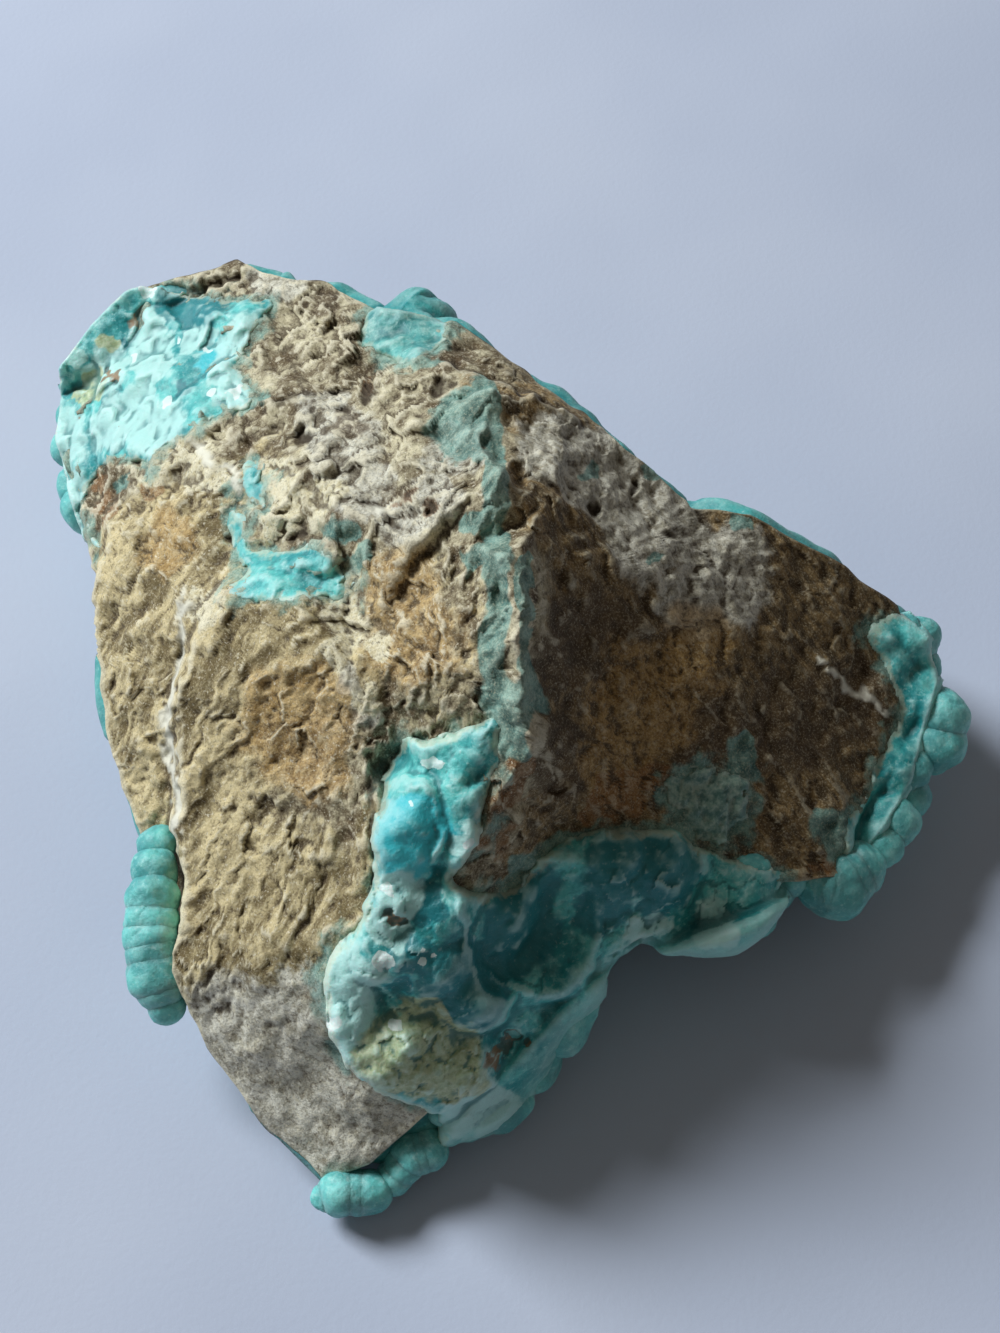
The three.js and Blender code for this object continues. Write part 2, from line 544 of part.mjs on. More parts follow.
// ---------------------------------------------------------------- solids

const wasm = await Module();
wasm.setup();

function solidOf( vertProperties, triVerts ) {

	return new wasm.Manifold( new wasm.Mesh( { numProp: 3, vertProperties, triVerts } ) );

}

function solidFromSkin( { points, facets } ) {

	return solidOf( new Float32Array( points.flatMap( p => p.toArray() ) ), new Uint32Array( facets.flat() ) );

}

function solidFromGeometry( geometry ) {

	const merged = mergeVertices( bare( geometry ) );
	return solidOf( merged.getAttribute( 'position' ).array, new Uint32Array( merged.index.array ) );

}

// The same skin moved outwards from CORE, the room that the crust leaves round the stone.
function grown( { points, facets }, by ) {

	const moved = points.map( p => {

		const radius = p.clone().sub( CORE );
		return CORE.clone().add( radius.setLength( radius.length() + by ) );

	} );
	return { points: moved, facets };

}

// The block of ground under the specimen, which flattens the lobes that it stands on.
function ground() {

	const block = new THREE.BoxGeometry( GROUND_WIDTH, GROUND_WIDTH, GROUND_DEPTH );
	return solidFromGeometry( block.translate( 0, 0, - GROUND_DEPTH / 2 ) );

}

// One lobe as a ball of flat faces, turned its own way so that no two lobes share a plane.
function lobe( ball, order ) {

	const [ x, y, z, radius ] = ball;
	const turn = new THREE.Euler( ...[ 1, 2, 3 ].map( axis => LOBE_TURN * hash( order, axis, 0 ) ) );
	const shape = new THREE.IcosahedronGeometry( radius, 1 );
	shape.applyMatrix4( new THREE.Matrix4().makeRotationFromEuler( turn ) ).translate( x, y, z );
	return solidFromGeometry( shape );

}

function heapOf( balls ) {

	return balls.map( lobe ).reduce( ( sum, one ) => sum.add( one ) );

}

// The largest body left of a crust once the stone and the ground are taken from it.
function trimmed( crust ) {

	const room = solidFromSkin( grown( stone, CRUST_GAP ) );
	const bodies = crust.subtract( room ).subtract( ground() ).decompose();
	bodies.sort( ( a, b ) => b.volume() - a.volume() );
	return bodies[ 0 ];

}

function meshOf( name, solid, material ) {

	const { vertProperties, triVerts } = solid.getMesh();
	const geometry = new THREE.BufferGeometry();
	geometry.setAttribute( 'position', new THREE.BufferAttribute( vertProperties, 3 ) );
	geometry.setIndex( new THREE.BufferAttribute( triVerts, 1 ) );
	geometry.computeVertexNormals();
	const mesh = new THREE.Mesh( geometry, material );
	mesh.name = name;
	return mesh;

}

// ---------------------------------------------------------------- the specimen

const stoneMaterial = new THREE.MeshStandardMaterial( { color: 0x9a8862, roughness: 0.85, metalness: 0 } );
const crustMaterial = new THREE.MeshStandardMaterial( { color: 0x5fb6b4, roughness: 0.35, metalness: 0 } );

const mainBalls = [ ...Object.values( LOBES ).flat(), ...hiddenLobes() ];
const mainCrust = trimmed( solidFromSkin( crustSkin( mainBalls, BOWL ) ) );
const specimen = new THREE.Group();
specimen.name = 'hemimorphite_specimen';
specimen.add( meshOf( 'matrix_stone', solidFromSkin( stone ), stoneMaterial ) );
specimen.add( meshOf( 'botryoidal_crust', mainCrust, crustMaterial ) );
specimen.add( meshOf( 'pocket_crust', trimmed( heapOf( POCKET_LOBES ) ), crustMaterial ) );
specimen.add( meshOf( 'slope_crust', trimmed( heapOf( SLOPE_LOBES ) ), crustMaterial ) );

export default specimen;
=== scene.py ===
"""A hemimorphite hand specimen: a wedge of broken brown stone in a blue-green crust of round lobes.

Shapes are worked out in millimetres and put into the meshes in metres. A place on the break is
written (across, uphill): it is where the thing lies on the tilted plane that the broken faces follow.
"""

import math

import bmesh
import bpy
import numpy as np
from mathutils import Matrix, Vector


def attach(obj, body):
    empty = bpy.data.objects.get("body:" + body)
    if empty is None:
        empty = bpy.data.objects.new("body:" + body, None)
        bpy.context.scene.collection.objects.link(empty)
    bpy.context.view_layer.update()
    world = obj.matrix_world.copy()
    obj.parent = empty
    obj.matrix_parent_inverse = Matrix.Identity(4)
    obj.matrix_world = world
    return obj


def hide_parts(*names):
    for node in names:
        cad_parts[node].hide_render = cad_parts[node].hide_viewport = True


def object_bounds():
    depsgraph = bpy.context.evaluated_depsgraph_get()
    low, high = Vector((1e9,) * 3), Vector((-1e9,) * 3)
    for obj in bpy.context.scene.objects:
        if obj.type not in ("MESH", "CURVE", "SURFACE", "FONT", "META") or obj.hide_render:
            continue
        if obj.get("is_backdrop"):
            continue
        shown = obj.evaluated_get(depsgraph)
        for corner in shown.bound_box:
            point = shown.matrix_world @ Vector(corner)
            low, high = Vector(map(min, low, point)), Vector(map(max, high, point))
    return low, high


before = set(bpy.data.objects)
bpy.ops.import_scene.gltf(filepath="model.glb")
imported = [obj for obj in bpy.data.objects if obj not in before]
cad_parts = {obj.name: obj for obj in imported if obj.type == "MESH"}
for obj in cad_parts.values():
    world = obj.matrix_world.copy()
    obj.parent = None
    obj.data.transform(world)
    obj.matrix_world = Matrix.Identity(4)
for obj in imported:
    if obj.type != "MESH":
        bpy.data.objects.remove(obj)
cad_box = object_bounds()

MM = 0.001

# ---------------------------------------------------------------- the surveyed form, in millimetres

CORE = np.array([-2.5, 0.0, 17.0])  # the point inside the stone that everything is measured from
ACROSS = np.array([1.0, 0.0, 0.0])  # the plane of the break: one axis across it,
UPHILL = np.array([0.0, 0.866, 0.5])  # one up it,
OUTWARD = np.array([0.0, -0.5, 0.866])  # and the way that the broken faces look

# ---------------------------------------------------------------- how places are written
# A row of the tables below starts with a pixel of the front view. In the tables of the form
# a judged height above the table follows, in millimetres. A row that is written mm(...)
# was given in millimetres instead: (x, y, z) in the tables of the form, (across, uphill) in the rest.

VIEW_DOWN = 1333  # height of the front view, in pixels
CENTRE_ACROSS, CENTRE_DOWN = 500, 690  # the pixel that shows the place looked at
FILM = 36  # height of the film that the view fills
LENS = 50  # focal length
LOOKED_AT = np.array([1.5, -4.0, 20.0])
CAMERA_AWAY = 172  # from the place looked at to the camera
CAMERA_TILT = math.radians(60)  # how steeply it looks down
SHIFT_UP = 0.0176  # how far the lens is shifted up, as a share of the film
SURVEY_STEP = 0.5  # surveyed places are rounded to this


class InMillimetres(tuple):
    """A row that starts with a place in millimetres, where the others start with a pixel."""


def mm(*row):
    """Marks a row as one that starts with a place in millimetres."""
    return InMillimetres(row)


def sight(across, down):
    """The camera's place, and the ways from it through pixels: forward, and a pixel's share of the film
    over the focal length to the side and up."""
    forward = np.array([0, math.cos(CAMERA_TILT), -math.sin(CAMERA_TILT)])
    upward = np.array([0, math.sin(CAMERA_TILT), math.cos(CAMERA_TILT)])
    pixel = FILM / VIEW_DOWN / LENS
    right = (np.asarray(across, float) - CENTRE_ACROSS)[..., None] * pixel
    up = (CENTRE_DOWN - np.asarray(down, float))[..., None] * pixel
    return LOOKED_AT - CAMERA_AWAY * forward, forward + right * ACROSS + up * upward


def surveyed(rows):
    """Rows (pixel, pixel, height, ...) as (x, y, z, ...): each line of sight, followed to its height."""
    places = []
    for row in rows:
        if not isinstance(row, InMillimetres):
            eye, way = sight(row[0], row[1])
            place = eye + way * (row[2] - eye[2]) / way[2]
            row = (*(np.round(place / SURVEY_STEP) * SURVEY_STEP), *row[3:])
        places.append(tuple(row))
    return places


# The surveyed points of the stone, with how rough the ground round them is, from 0 to 1.
STONE = {
    "crest": (0.4, [
        (452, 318, 34), (437, 352, 38), (490, 395, 44), (497, 470, 47), (505, 550, 48), (522, 640, 45),
        (532, 740, 40), (503, 800, 35), (458, 884, 29),
    ]),
    "slope_foot": (0.7, [
        (560, 850, 24), (610, 835, 23), (665, 822, 22), (700, 850, 19.5), (775, 885, 15.5),
        (850, 880, 13), (872, 790, 13), (925, 705, 13), (940, 662, 13.5), (862, 580, 22), (902, 604, 19),
    ]),
    "back_rim": (0.4, [
        (522, 397, 42), (560, 422, 40), (600, 437, 37.5), (640, 452, 35.5), (665, 487, 33.5),
        (700, 505, 31.5), (757, 513, 29.5), (803, 541, 26.5), (848, 565, 23.5),
    ]),
    "long_slope": (0.45, [
        (600, 560, 38.5), (640, 700, 30), (722, 690, 26.5), (745, 800, 20.5), (810, 640, 22.5),
        (820, 760, 17.5), (565, 700, 36), (700, 590, 31.5), (545, 500, 43.5), (580, 790, 28.5),
    ]),
    "grey_block": (0.6, [
        (480, 430, 43), (478, 540, 45.5), (412, 540, 43), (335, 500, 39.5), (440, 400, 40),
        (395, 440, 39.5),
    ]),
    "brown_block": (0.5, [
        (365, 560, 38.5), (420, 553, 41), (480, 575, 44.5), (482, 650, 43), (448, 692, 39.5),
        (470, 708, 38.5), (432, 728, 35), (385, 700, 35.5), (378, 620, 37.5),
    ]),
    "pale_band": (0.7, [
        (352, 640, 36), (385, 775, 31), (362, 752, 33), (400, 760, 32),
    ]),
    "large_facet": (0.12, [
        (208, 612, 32), (285, 604, 36), (325, 650, 37), (355, 685, 36.5), (372, 800, 32.5),
        (376, 885, 28.5), (332, 945, 24), (170, 976, 15), (185, 880, 18.5), (183, 780, 23),
        (183, 690, 28),
    ]),
    "left_facet": (0.25, [
        (110, 548, 22), (155, 505, 26), (225, 478, 30.5), (238, 570, 31), (198, 615, 28.5),
        (172, 680, 23.5), (168, 780, 17.5), (178, 832, 13.5), (135, 838, 11), (107, 750, 13.5),
        (92, 665, 16), (95, 595, 19),
    ]),
    "front_facet": (0.55, [
        (203, 1050, 9), (250, 1115, 5.5), (322, 1188, 3), (372, 1165, 6), (438, 1115, 10),
        (355, 1072, 14), (322, 1010, 19), (250, 1020, 14.5),
    ]),
    "broken_ground": (1, [
        (262, 345, 28.5), (292, 303, 28.5), (352, 345, 33), (378, 372, 35), (248, 395, 30),
        (340, 432, 37), (262, 520, 33.5), (315, 480, 36.5), (300, 545, 34), (222, 432, 29.5),
        (345, 580, 36), (300, 400, 32),
    ]),
    "upper_end": (0.8, [
        (140, 285, 20), (98, 330, 17), (66, 375, 14), (58, 440, 12.5), (88, 520, 15), (150, 455, 24),
        (205, 400, 27), (190, 345, 24), (180, 275, 22), (235, 257, 24.5), (262, 270, 26), (330, 281, 29),
        (347, 300, 31), (110, 420, 19), (232, 300, 26), (385, 310, 32), (120, 490, 21),
    ]),
}

# The points of the stone that don't show from the front, (x, y, z) in millimetres.
HIDDEN = [
    (-38.5, 41, 6), (-24.5, 46, 8), (-8.5, 41, 10), (-2, 33.5, 14), (5, 23, 15), (14, 19.5, 13),
    (22, 16.5, 11), (31, 13.5, 9), (39.5, 9.5, 7), (43, 4, 6), (40.5, -6, 6), (34.5, -15, 6),
    (21.5, -17.5, 7), (7.5, -25, 7), (-2.5, -35, 5), (-13, -42.5, 2.5), (-22.5, -35, 4),
    (-28.5, -24, 6), (-34, -9, 7), (-37.5, 6, 7), (-42, 22, 7), (-41.5, 34, 6), (-13.5, 14, 4.5),
    (11.5, 4, 5), (-6.5, -16, 4.5), (-26.5, 24, 4), (26.5, 2, 4.5),
]

# The lobes of the crust by place: each row ends with a radius.
LOBES = {
    "long_dome": [
        (418, 808, 32.5, 2.9), (408, 838, 31, 3.4), (399, 868, 29, 3),
    ],
    "side_dome": [
        (430, 748, 35, 1.9), (455, 765, 34, 2.6), (480, 748, 36, 2.3), (466, 800, 33, 2.8),
        (468, 838, 31, 2.9), (457, 866, 29, 2.2),
    ],
    "neck": [
        (392, 905, 27, 3), (432, 902, 26.5, 3.4), (468, 905, 25.5, 3), (385, 950, 24.5, 3.3),
        (430, 950, 23.5, 4), (470, 985, 19.5, 4), (405, 984, 20, 2.8),
    ],
    "cheek": [
        mm(-11, -32, 22, 3.2), mm(-11.5, -34.5, 19.5, 3.4), mm(-11, -37, 17, 3.6), (374, 1072, 14, 3),
    ],
    "pale_dome": [
        (398, 1040, 15.5, 5), (450, 1055, 12.5, 4.6), (432, 1085, 10.5, 3.6),
    ],
    "bowl_wall": [
        (530, 930, 17, 7),
    ],
    "front_right": [
        (563, 967, 10.5, 4.6), (548, 1005, 8, 5), (510, 1000, 12, 4.2), (527, 1055, 5, 3.9),
        (497, 1097, 4.5, 3.8), (473, 1108, 4.5, 3.4), (455, 1095, 7, 3.4), (487, 1040, 9.5, 4.2),
    ],
    "front_toe": [
        (345, 1192, 3.2, 2.5), (368, 1189, 3, 2.3), (324, 1195, 3.2, 1.4), mm(-8, -44.5, 3, 1.8),
        (410, 1152, 4.6, 2), (430, 1145, 4.6, 2),
    ],
    "apron_top": [
        (545, 870, 22.5, 3), (575, 878, 20, 4), (605, 868, 20, 4.2), (643, 862, 19, 4.2),
        (672, 868, 18, 3.4), (575, 925, 14.5, 5), (612, 905, 15, 4.6), (650, 898, 14.5, 4.4),
    ],
    "apron_rim": [
        (640, 915, 12, 2.6), (662, 922, 10.5, 3), (690, 920, 10, 3.2), (722, 920, 9.5, 3.6),
        (745, 905, 10, 3.4), (765, 890, 11, 3.2), (705, 885, 14, 4.2), (738, 872, 14, 4),
        (785, 875, 12, 2.6),
    ],
    "right_edge": [
        (822, 886, 10.8, 2.6), (838, 885, 10.5, 3.2), (858, 872, 10.5, 2.7), (880, 845, 9.5, 2.6),
        (893, 820, 9.5, 3), (908, 795, 9, 2.7), (905, 770, 10.5, 3.2), (930, 745, 10.5, 3.5),
        (938, 718, 11.8, 3.2), (922, 695, 13, 2.4), (918, 665, 13.5, 2.5), (916, 640, 15, 2.9),
        (903, 635, 16, 2.6),
    ],
    "left_edge": [
        (156, 845, 14, 1.9), (155, 902, 14, 2.6), (153, 938, 13, 2.7), (155, 972, 11.8, 2.9),
        (165, 1000, 10.5, 1.9), mm(-37.5, 9.5, 16, 1.4), mm(-37.5, 6.5, 15.5, 1.3),
        mm(-37.5, 3.5, 15, 1.2),
    ],
    "upper_edge": [
        mm(-43.3, 33.5, 13, 2.7), mm(-43.8, 30, 12, 2.6), mm(-42.8, 26, 11, 2.8), mm(-42, 23, 11, 2.7),
        mm(-38.5, 17.5, 14, 2),
    ],
    "rear_dome": [
        (408, 328, 31.5, 3.4), (392, 338, 31.5, 2.8), (425, 348, 32.5, 2.2), mm(-6.5, 34, 27, 4),
    ],
    "feet": [
        mm(-11, -34, 5.5, 6), mm(31, -3, 5.5, 6), mm(-33, 27, 5.5, 6), mm(3, 17, 5.5, 6),
    ],
}

LOBES = {name: surveyed(rows) for name, rows in LOBES.items()}

# A hollow in the front mass, (x, y, z, radius) in millimetres.
BOWL = (6, -31, 24.5, 7)

# Ground of the front mass that is glassy, and ground that is grainy, (across, uphill, radius) in millimetres.
GLASSY = [(8, -33, 5), (7, -38, 5), (12, -27, 4)]
GRAINY = [(-2, -32, 5), (2, -38, 5), (17, -22, 6), (24, -22, 4), (-3, -24, 3)]

# ---------------------------------------------------------------- places on the break
# Spots end with a radius, and lines are runs of places.

STONE_SPOTS = {
    "cream": [
        (180, 430, 3.5), (160, 460, 3), (205, 470, 2.4), (275, 480, 3), (280, 510, 2.5), (320, 500, 2),
        (345, 580, 2.5), (345, 640, 2.2), (370, 700, 2), (385, 640, 1.2), (340, 610, 2), (100, 300, 2.5),
        (110, 330, 2), (200, 610, 1.8), (215, 600, 1.3), (205, 450, 1.5), (225, 470, 1.2),
        (320, 492, 1.2), (330, 640, 1), (145, 280, 2), (250, 509, 1.2), mm(-3, -41.5, 2),
    ],
    "golden": [
        (300, 720, 7), (420, 640, 5), (400, 590, 4), (640, 700, 6), (620, 760, 5), (690, 650, 5),
        (320, 770, 4), mm(-27, 12, 4),
    ],
    "rust": [
        (95, 480, 1.5), (105, 500, 1.5), (150, 490, 1.5), (110, 520, 1.2), (620, 790, 2.5), (600, 815, 2),
        (660, 780, 2), (740, 800, 1.5), (830, 860, 2), (845, 845, 1.5), (367, 385, 1), (430, 505, 1),
        (400, 500, 0.8), (480, 840, 2.5), mm(4, -10.5, 2), mm(5, -8, 1.6),
    ],
    "grey": [
        (355, 480, 4), (340, 440, 4), (320, 410, 3), (285, 280, 3.5), (230, 1030, 6), mm(-17.5, -37.5, 6),
        (320, 1100, 6), (380, 1130, 4), (430, 500, 3), (400, 520, 2.5), (455, 440, 3), (600, 470, 5),
        (650, 520, 6), (560, 450, 4), (730, 570, 5), (700, 600, 4), mm(-7, -4, 2), mm(-8, -1, 1.6),
    ],
    "dark": [
        (240, 437, 1.8), (235, 265, 1.5), (325, 305, 2), mm(-10, 22, 2), (600, 650, 6), (700, 720, 5),
        (800, 720, 6), (850, 700, 5), (560, 760, 4), mm(-1, 29, 2.5),
    ],
    "teal": [
        (700, 790, 3), (740, 760, 2), (725, 820, 2.5), (835, 830, 3), (560, 850, 2.5), (530, 860, 2),
        (520, 700, 2.2), (500, 690, 2.5), (490, 610, 1.5), (475, 560, 1.5), (360, 560, 1.5),
        (340, 530, 1.5), (120, 480, 1.5), (460, 440, 2.2), (480, 520, 1.5), mm(0, 21.5, 3), (470, 400, 2),
        (400, 340, 2), (590, 470, 1), (650, 470, 1.2), (740, 520, 1.3), (660, 560, 0.8), (505, 735, 2.5),
    ],
}

# Pits in the stone, each with its radius, about as deep as they are wide.
PITS = [
    (437, 385, 1.4), (368, 390, 1.1), (340, 410, 0.9), (305, 430, 1.4), (300, 540, 0.8), (282, 555, 0.7),
    (232, 530, 0.9), (177, 652, 0.7), (245, 262, 0.9), (367, 385, 0.9), (430, 505, 0.8), (400, 500, 0.6),
    mm(12, 14, 0.9), mm(19, 12, 0.8), mm(16, 16, 0.7),
]

# Cracks and narrow ledges, (depth, width, line).
CRACKS = {
    "between_facets": (0.5, 0.5, [(182, 600), (178, 660), (172, 730), (176, 800), (180, 830)]),
    "under_slab": (0.5, 0.5, [(365, 500), mm(-6, 13.2), mm(-4.5, 11.5)]),
    "beside_long_facet": (0.4, 0.6, [(378, 760), (372, 800), (374, 880)]),
    "top": (1.5, 0.8, [(160, 285), (200, 285), (240, 280)]),
    "arc": (0.6, 0.5, [(280, 405), (300, 395), (330, 390)]),
}

VEINS = {
    "white": (0.7, [(182, 600), mm(-25.2, 1), mm(-26.2, -5.5), mm(-25.2, -12), mm(-24.7, -14.5)]),
    "slope_edge": (0.5, [(820, 660), (850, 685), (885, 715)]),
    "slab_edge": (0.5, [mm(-7, 13.5), mm(-6, 12.8)]),
    "upper": (0.6, [mm(-25, 22), mm(-22.5, 19), mm(-20, 17)]),
}

# The seam of crust along the crest, (width, line).
SEAMS = [
    (1.7, [
        (482, 385), (490, 430), (495, 480), (498, 540), (492, 600), (490, 650), (500, 700), (505, 735),
        (480, 750),
    ]),
    (0.9, [(520, 560), (525, 640), (532, 700), (520, 740)]),
]

CRUST_SPOTS = {
    "pale": [
        (350, 970, 3.5), (345, 1010, 3.5), (370, 1040, 3), (350, 990, 3), (400, 890, 2.5), (390, 920, 2),
        (465, 835, 1.6), (480, 850, 1.2), (480, 1100, 3.5), (500, 1120, 3), (460, 1120, 2.5),
        (150, 330, 2.5), (160, 370, 2.5), (140, 400, 2.5), (240, 385, 2.5), (220, 370, 2), (230, 400, 2),
        (200, 340, 2), (75, 360, 1.5), mm(-30, 24, 4), mm(-35, 25, 3.5), mm(-41, 17, 4), mm(-42, 24, 4),
        mm(-37, 31, 3.5), mm(-32, 33, 3), mm(-22, 33, 3), mm(-27, -17.5, 4), mm(-27, -24, 4),
        mm(23, -23, 2.5), mm(17, -23, 2),
    ],
    "bright": [
        (420, 820, 3.2), (405, 850, 3.2), (405, 810, 2.5), (405, 982, 1.2), mm(-20.5, 17, 1.5),
        mm(-24, 31, 2.5),
    ],
    # deep teal spots: the crust's own deeper colour on small domes and the pocket, and painted shade in the
    # bowl, on the apron top and in the crevices of the upper patch
    "deep": [
        (455, 965, 3.5), (480, 990, 3), (440, 1000, 2.5), (405, 982, 1.1), (520, 930, 4), (530, 900, 3.5),
        (505, 950, 3), (410, 950, 2), (620, 860, 4), (660, 870, 4), (600, 900, 3), (430, 900, 2),
        (200, 305, 3), (220, 300, 2), (175, 300, 2.5), (200, 325, 2), (185, 390, 1), (120, 440, 1.5),
        (110, 400, 1.5), (120, 350, 1.5), mm(-20.5, 15.5, 0.9),
    ],
    "yellow": [
        (400, 1040, 4), (430, 1060, 4), (390, 1060, 3), mm(0, -32.5, 3), (420, 1020, 2.6),
        mm(0.5, -35.5, 2.6), (420, 1150, 2), (405, 1155, 1.5), (90, 390, 2.2), (110, 350, 1.5),
    ],
    # white spots: real white specks on the front mass, and painted highlights on the crystal facets of the
    # upper patch
    "white": [
        (388, 890, 0.8), (385, 955, 0.9), (433, 955, 0.6), (335, 1015, 1), (405, 800, 0.5),
        (465, 835, 0.8), (440, 765, 0.8), (135, 360, 0.9), (210, 350, 0.7), (235, 390, 0.8),
        (150, 290, 1.5), (180, 340, 0.7), (215, 395, 0.8), (170, 400, 0.8), mm(-4.5, -30, 0.7),
    ],
    "rust": [
        (490, 1052, 0.8), mm(4, -33, 0.8), mm(5, -32.2, 0.7), (526, 1030, 0.5), (397, 915, 0.7),
        mm(-2.5, 27, 2), mm(-36, 30.5, 1), mm(-34, 37, 1.2),
    ],
}

# Where the crust ends, as closed outlines.
OUTLINES = {
    "front": [
        (400, 730), (384, 770), (377, 800), (371, 850), (371, 885), (364, 918), (345, 938), (327, 948),
        (321, 978), (324, 1012), (332, 1042), (347, 1064), (378, 1087), (405, 1099), (428, 1112),
        (440, 1124), (436, 1163), (474, 1147), (502, 1131),
        (524, 1108), (541, 1090), (556, 1062), (560, 1040), (577, 1014), (593, 1000), (603, 984),
        (601, 963), (610, 951), (628, 941), (649, 936), (656, 946), (676, 945), (697, 952), (716, 955),
        (738, 954), (755, 942), (767, 929), (777, 912), (793, 892), mm(30.5, -18.5), mm(28.5, -18),
        (738, 860), (706, 846), (676, 829), (642, 824), (600, 828), (566, 836), (530, 868), (515, 886),
        (488, 891), (452, 887), (461, 870), (478, 852), (489, 830), (487, 800), (499, 770), (506, 740),
        (500, 716), (470, 728), (440, 736),
    ],
    "right": [
        (884, 614), mm(42.5, 6), mm(45.5, 5), mm(46.3, 2.3), mm(46, 0.5), mm(47, -1.5), (960, 704),
        (963, 726), (955, 750), (938, 771), (932, 792), (922, 812), (904, 830), (891, 840), (884, 858),
        (872, 872), (848, 872), mm(35, -16.5), mm(36.5, -13.5), mm(38, -12), mm(39, -9.5), mm(40.5, -7),
        mm(42, -5), mm(42, -3), mm(41, -1.5), mm(40.5, 0.5), mm(39, 2), mm(38, 3.5),
    ],
    "upper": [
        (131, 290), (165, 285), (206, 290), (250, 299), (280, 298), (262, 325), (243, 350), (240, 370),
        (258, 395), (250, 410), (219, 418), (200, 436), (165, 450), (150, 474), (131, 462), (106, 462),
        (92, 480), (80, 502), (94, 530), (104, 552), (82, 547), (57, 540), (44, 505), (38, 475),
        (44, 430), (46, 395), (60, 378), (66, 350), (77, 315), (98, 293), (115, 286),
    ],
    "rear": [
        mm(-9.5, 33), mm(-8.7, 35.6), mm(-6.8, 37.2), mm(-4, 37.6), mm(-1.6, 36.2), mm(-0.4, 33.8),
        mm(-0.6, 30.6), mm(-2.2, 28.2), mm(-5, 27.8), mm(-7.4, 29.2), mm(-9.2, 30.8),
    ],
    "pocket_eye": [
        (245, 462), (265, 459), (269, 480), (266, 505), (250, 509), (239, 492),
    ],
    "pocket_band": [
        (228, 515), (247, 512), (250, 546), (275, 552), (300, 541), (320, 538), (331, 552), (352, 568),
        (352, 592), (330, 603), (300, 606), (262, 603), (232, 600), (226, 588), (240, 572), (230, 550),
    ],
    "slope": [
        (675, 770), (700, 758), (728, 765), (750, 775), (757, 800), (750, 830), (738, 850), (715, 845),
        (690, 832), (672, 812), (668, 790),
    ],
}

# Raised thin rims on the crust, (height, width, line).
RIMS = {
    "bowl": (0.6, 0.6, [(462, 895), (470, 940), (480, 965), (500, 978), (530, 975)]),
    "long_dome": (0.3, 0.6, [(405, 778), (425, 780), (438, 795), (443, 830), (440, 860)]),
}

# ---------------------------------------------------------------- numbers that only look random
# A whole number that ends a call is its seed. It has no meaning but to keep one pattern from another.


def hashed(cell, seed):
    """One number from 0 to 1 for each whole-numbered place: its products with large odd numbers, mixed."""
    word = cell[..., 0] * 374761393 + cell[..., 1] * 668265263 + cell[..., 2] * 1442695041
    word = (word + seed * 974634777) & 0xFFFFFFFF
    word = ((word ^ (word >> 13)) * 1274126177) & 0xFFFFFFFF
    return (word ^ (word >> 16)) / 4294967296.0


def noise(p, scale, seed):
    """Smooth noise from -1 to 1: each place's unit cell is blended from its eight corners' numbers."""
    p = p / scale
    cell = np.floor(p).astype(np.int64)
    t = p - cell
    ease = t * t * (3 - 2 * t)
    total = np.zeros(p.shape[:-1])
    for corner in range(8):
        step = np.array([corner & 1, (corner >> 1) & 1, corner >> 2])
        share = np.prod(np.where(step, ease, 1 - ease), axis=-1)
        total += share * hashed(cell + step, seed)
    return 2 * total - 1


def layered(p, scale, seed, layers=4, fade=0.5):
    """Noise at one scale plus finer and fainter copies, each at 1/2.1 of the last one's scale."""
    return sum(fade**k * noise(p, scale / 2.1**k, seed + k) for k in range(layers))


def nearest_seed(p, scale, seed):
    """The scattered seed nearest to each place, one seed to a cell: its distance, the second one's, the
    step from it and three numbers of its own. Distances are in cells."""
    p = p / scale
    cell = np.floor(p).astype(np.int64)
    first = np.full(p.shape[:-1], 9.0)
    second = first.copy()
    step = np.zeros(p.shape)
    home = np.zeros(p.shape, np.int64)
    for k in range(27):
        there = cell + np.array([k % 3, k // 3 % 3, k // 9]) - 1
        seat = there + np.stack([hashed(there, seed + n) for n in range(3)], axis=-1)
        away = p - seat
        distance = np.sqrt((away**2).sum(-1))
        nearer = distance < first
        second = np.where(nearer, first, np.minimum(second, distance))
        first = np.where(nearer, distance, first)
        step[nearer] = away[nearer]
        home[nearer] = there[nearer]
    own = np.stack([hashed(home, seed + 7 + n) for n in range(3)], axis=-1)
    return first, second, step, own


def chips(p, scale, seed):
    """Flat chips of broken ground, -1 to 1: each seed's cell is a plane tilted and lifted its own way."""
    _, _, step, own = nearest_seed(p, scale, seed)
    tilt = 2 * own - 1
    return np.clip((step * tilt).sum(-1) * 1.3 + tilt[..., 0] * tilt[..., 1], -1, 1)


def buttons(p, scale, seed, spread=0.72):
    """Round buttons, 0 to 1: a quarter circle over each seed, down to nothing at spread cells from it."""
    first, _, _, own = nearest_seed(p, scale, seed)
    size = spread * (0.75 + 0.5 * own[..., 0])
    return np.sqrt(np.maximum(0, 1 - (first / size) ** 2))


def eased(value, low, high):
    """0 below low, 1 above high, and a smooth step between them."""
    t = np.clip((value - low) / (high - low), 0, 1)
    return t * t * (3 - 2 * t)


def spots(ab, places, border=0.55):
    """1 inside round places on the break, falling to 0 over the outer part of each radius."""
    mask = np.zeros(ab.shape[:-1])
    for across, uphill, radius in places:
        away = np.hypot(ab[..., 0] - across, ab[..., 1] - uphill) / radius
        mask = np.maximum(mask, 1 - eased(away, border, 1.25))
    return mask


def beside(ab, line):
    """The distance on the break to a run of straight lines: the least distance to any of them."""
    least = np.full(ab.shape[:-1], 1e3)
    for start, end in zip(np.array(line[:-1], float), np.array(line[1:], float)):
        along = end - start
        share = np.clip(((ab - start) @ along) / (along @ along), 0, 1)
        least = np.minimum(least, np.linalg.norm(ab - start - share[..., None] * along, axis=-1))
    return least


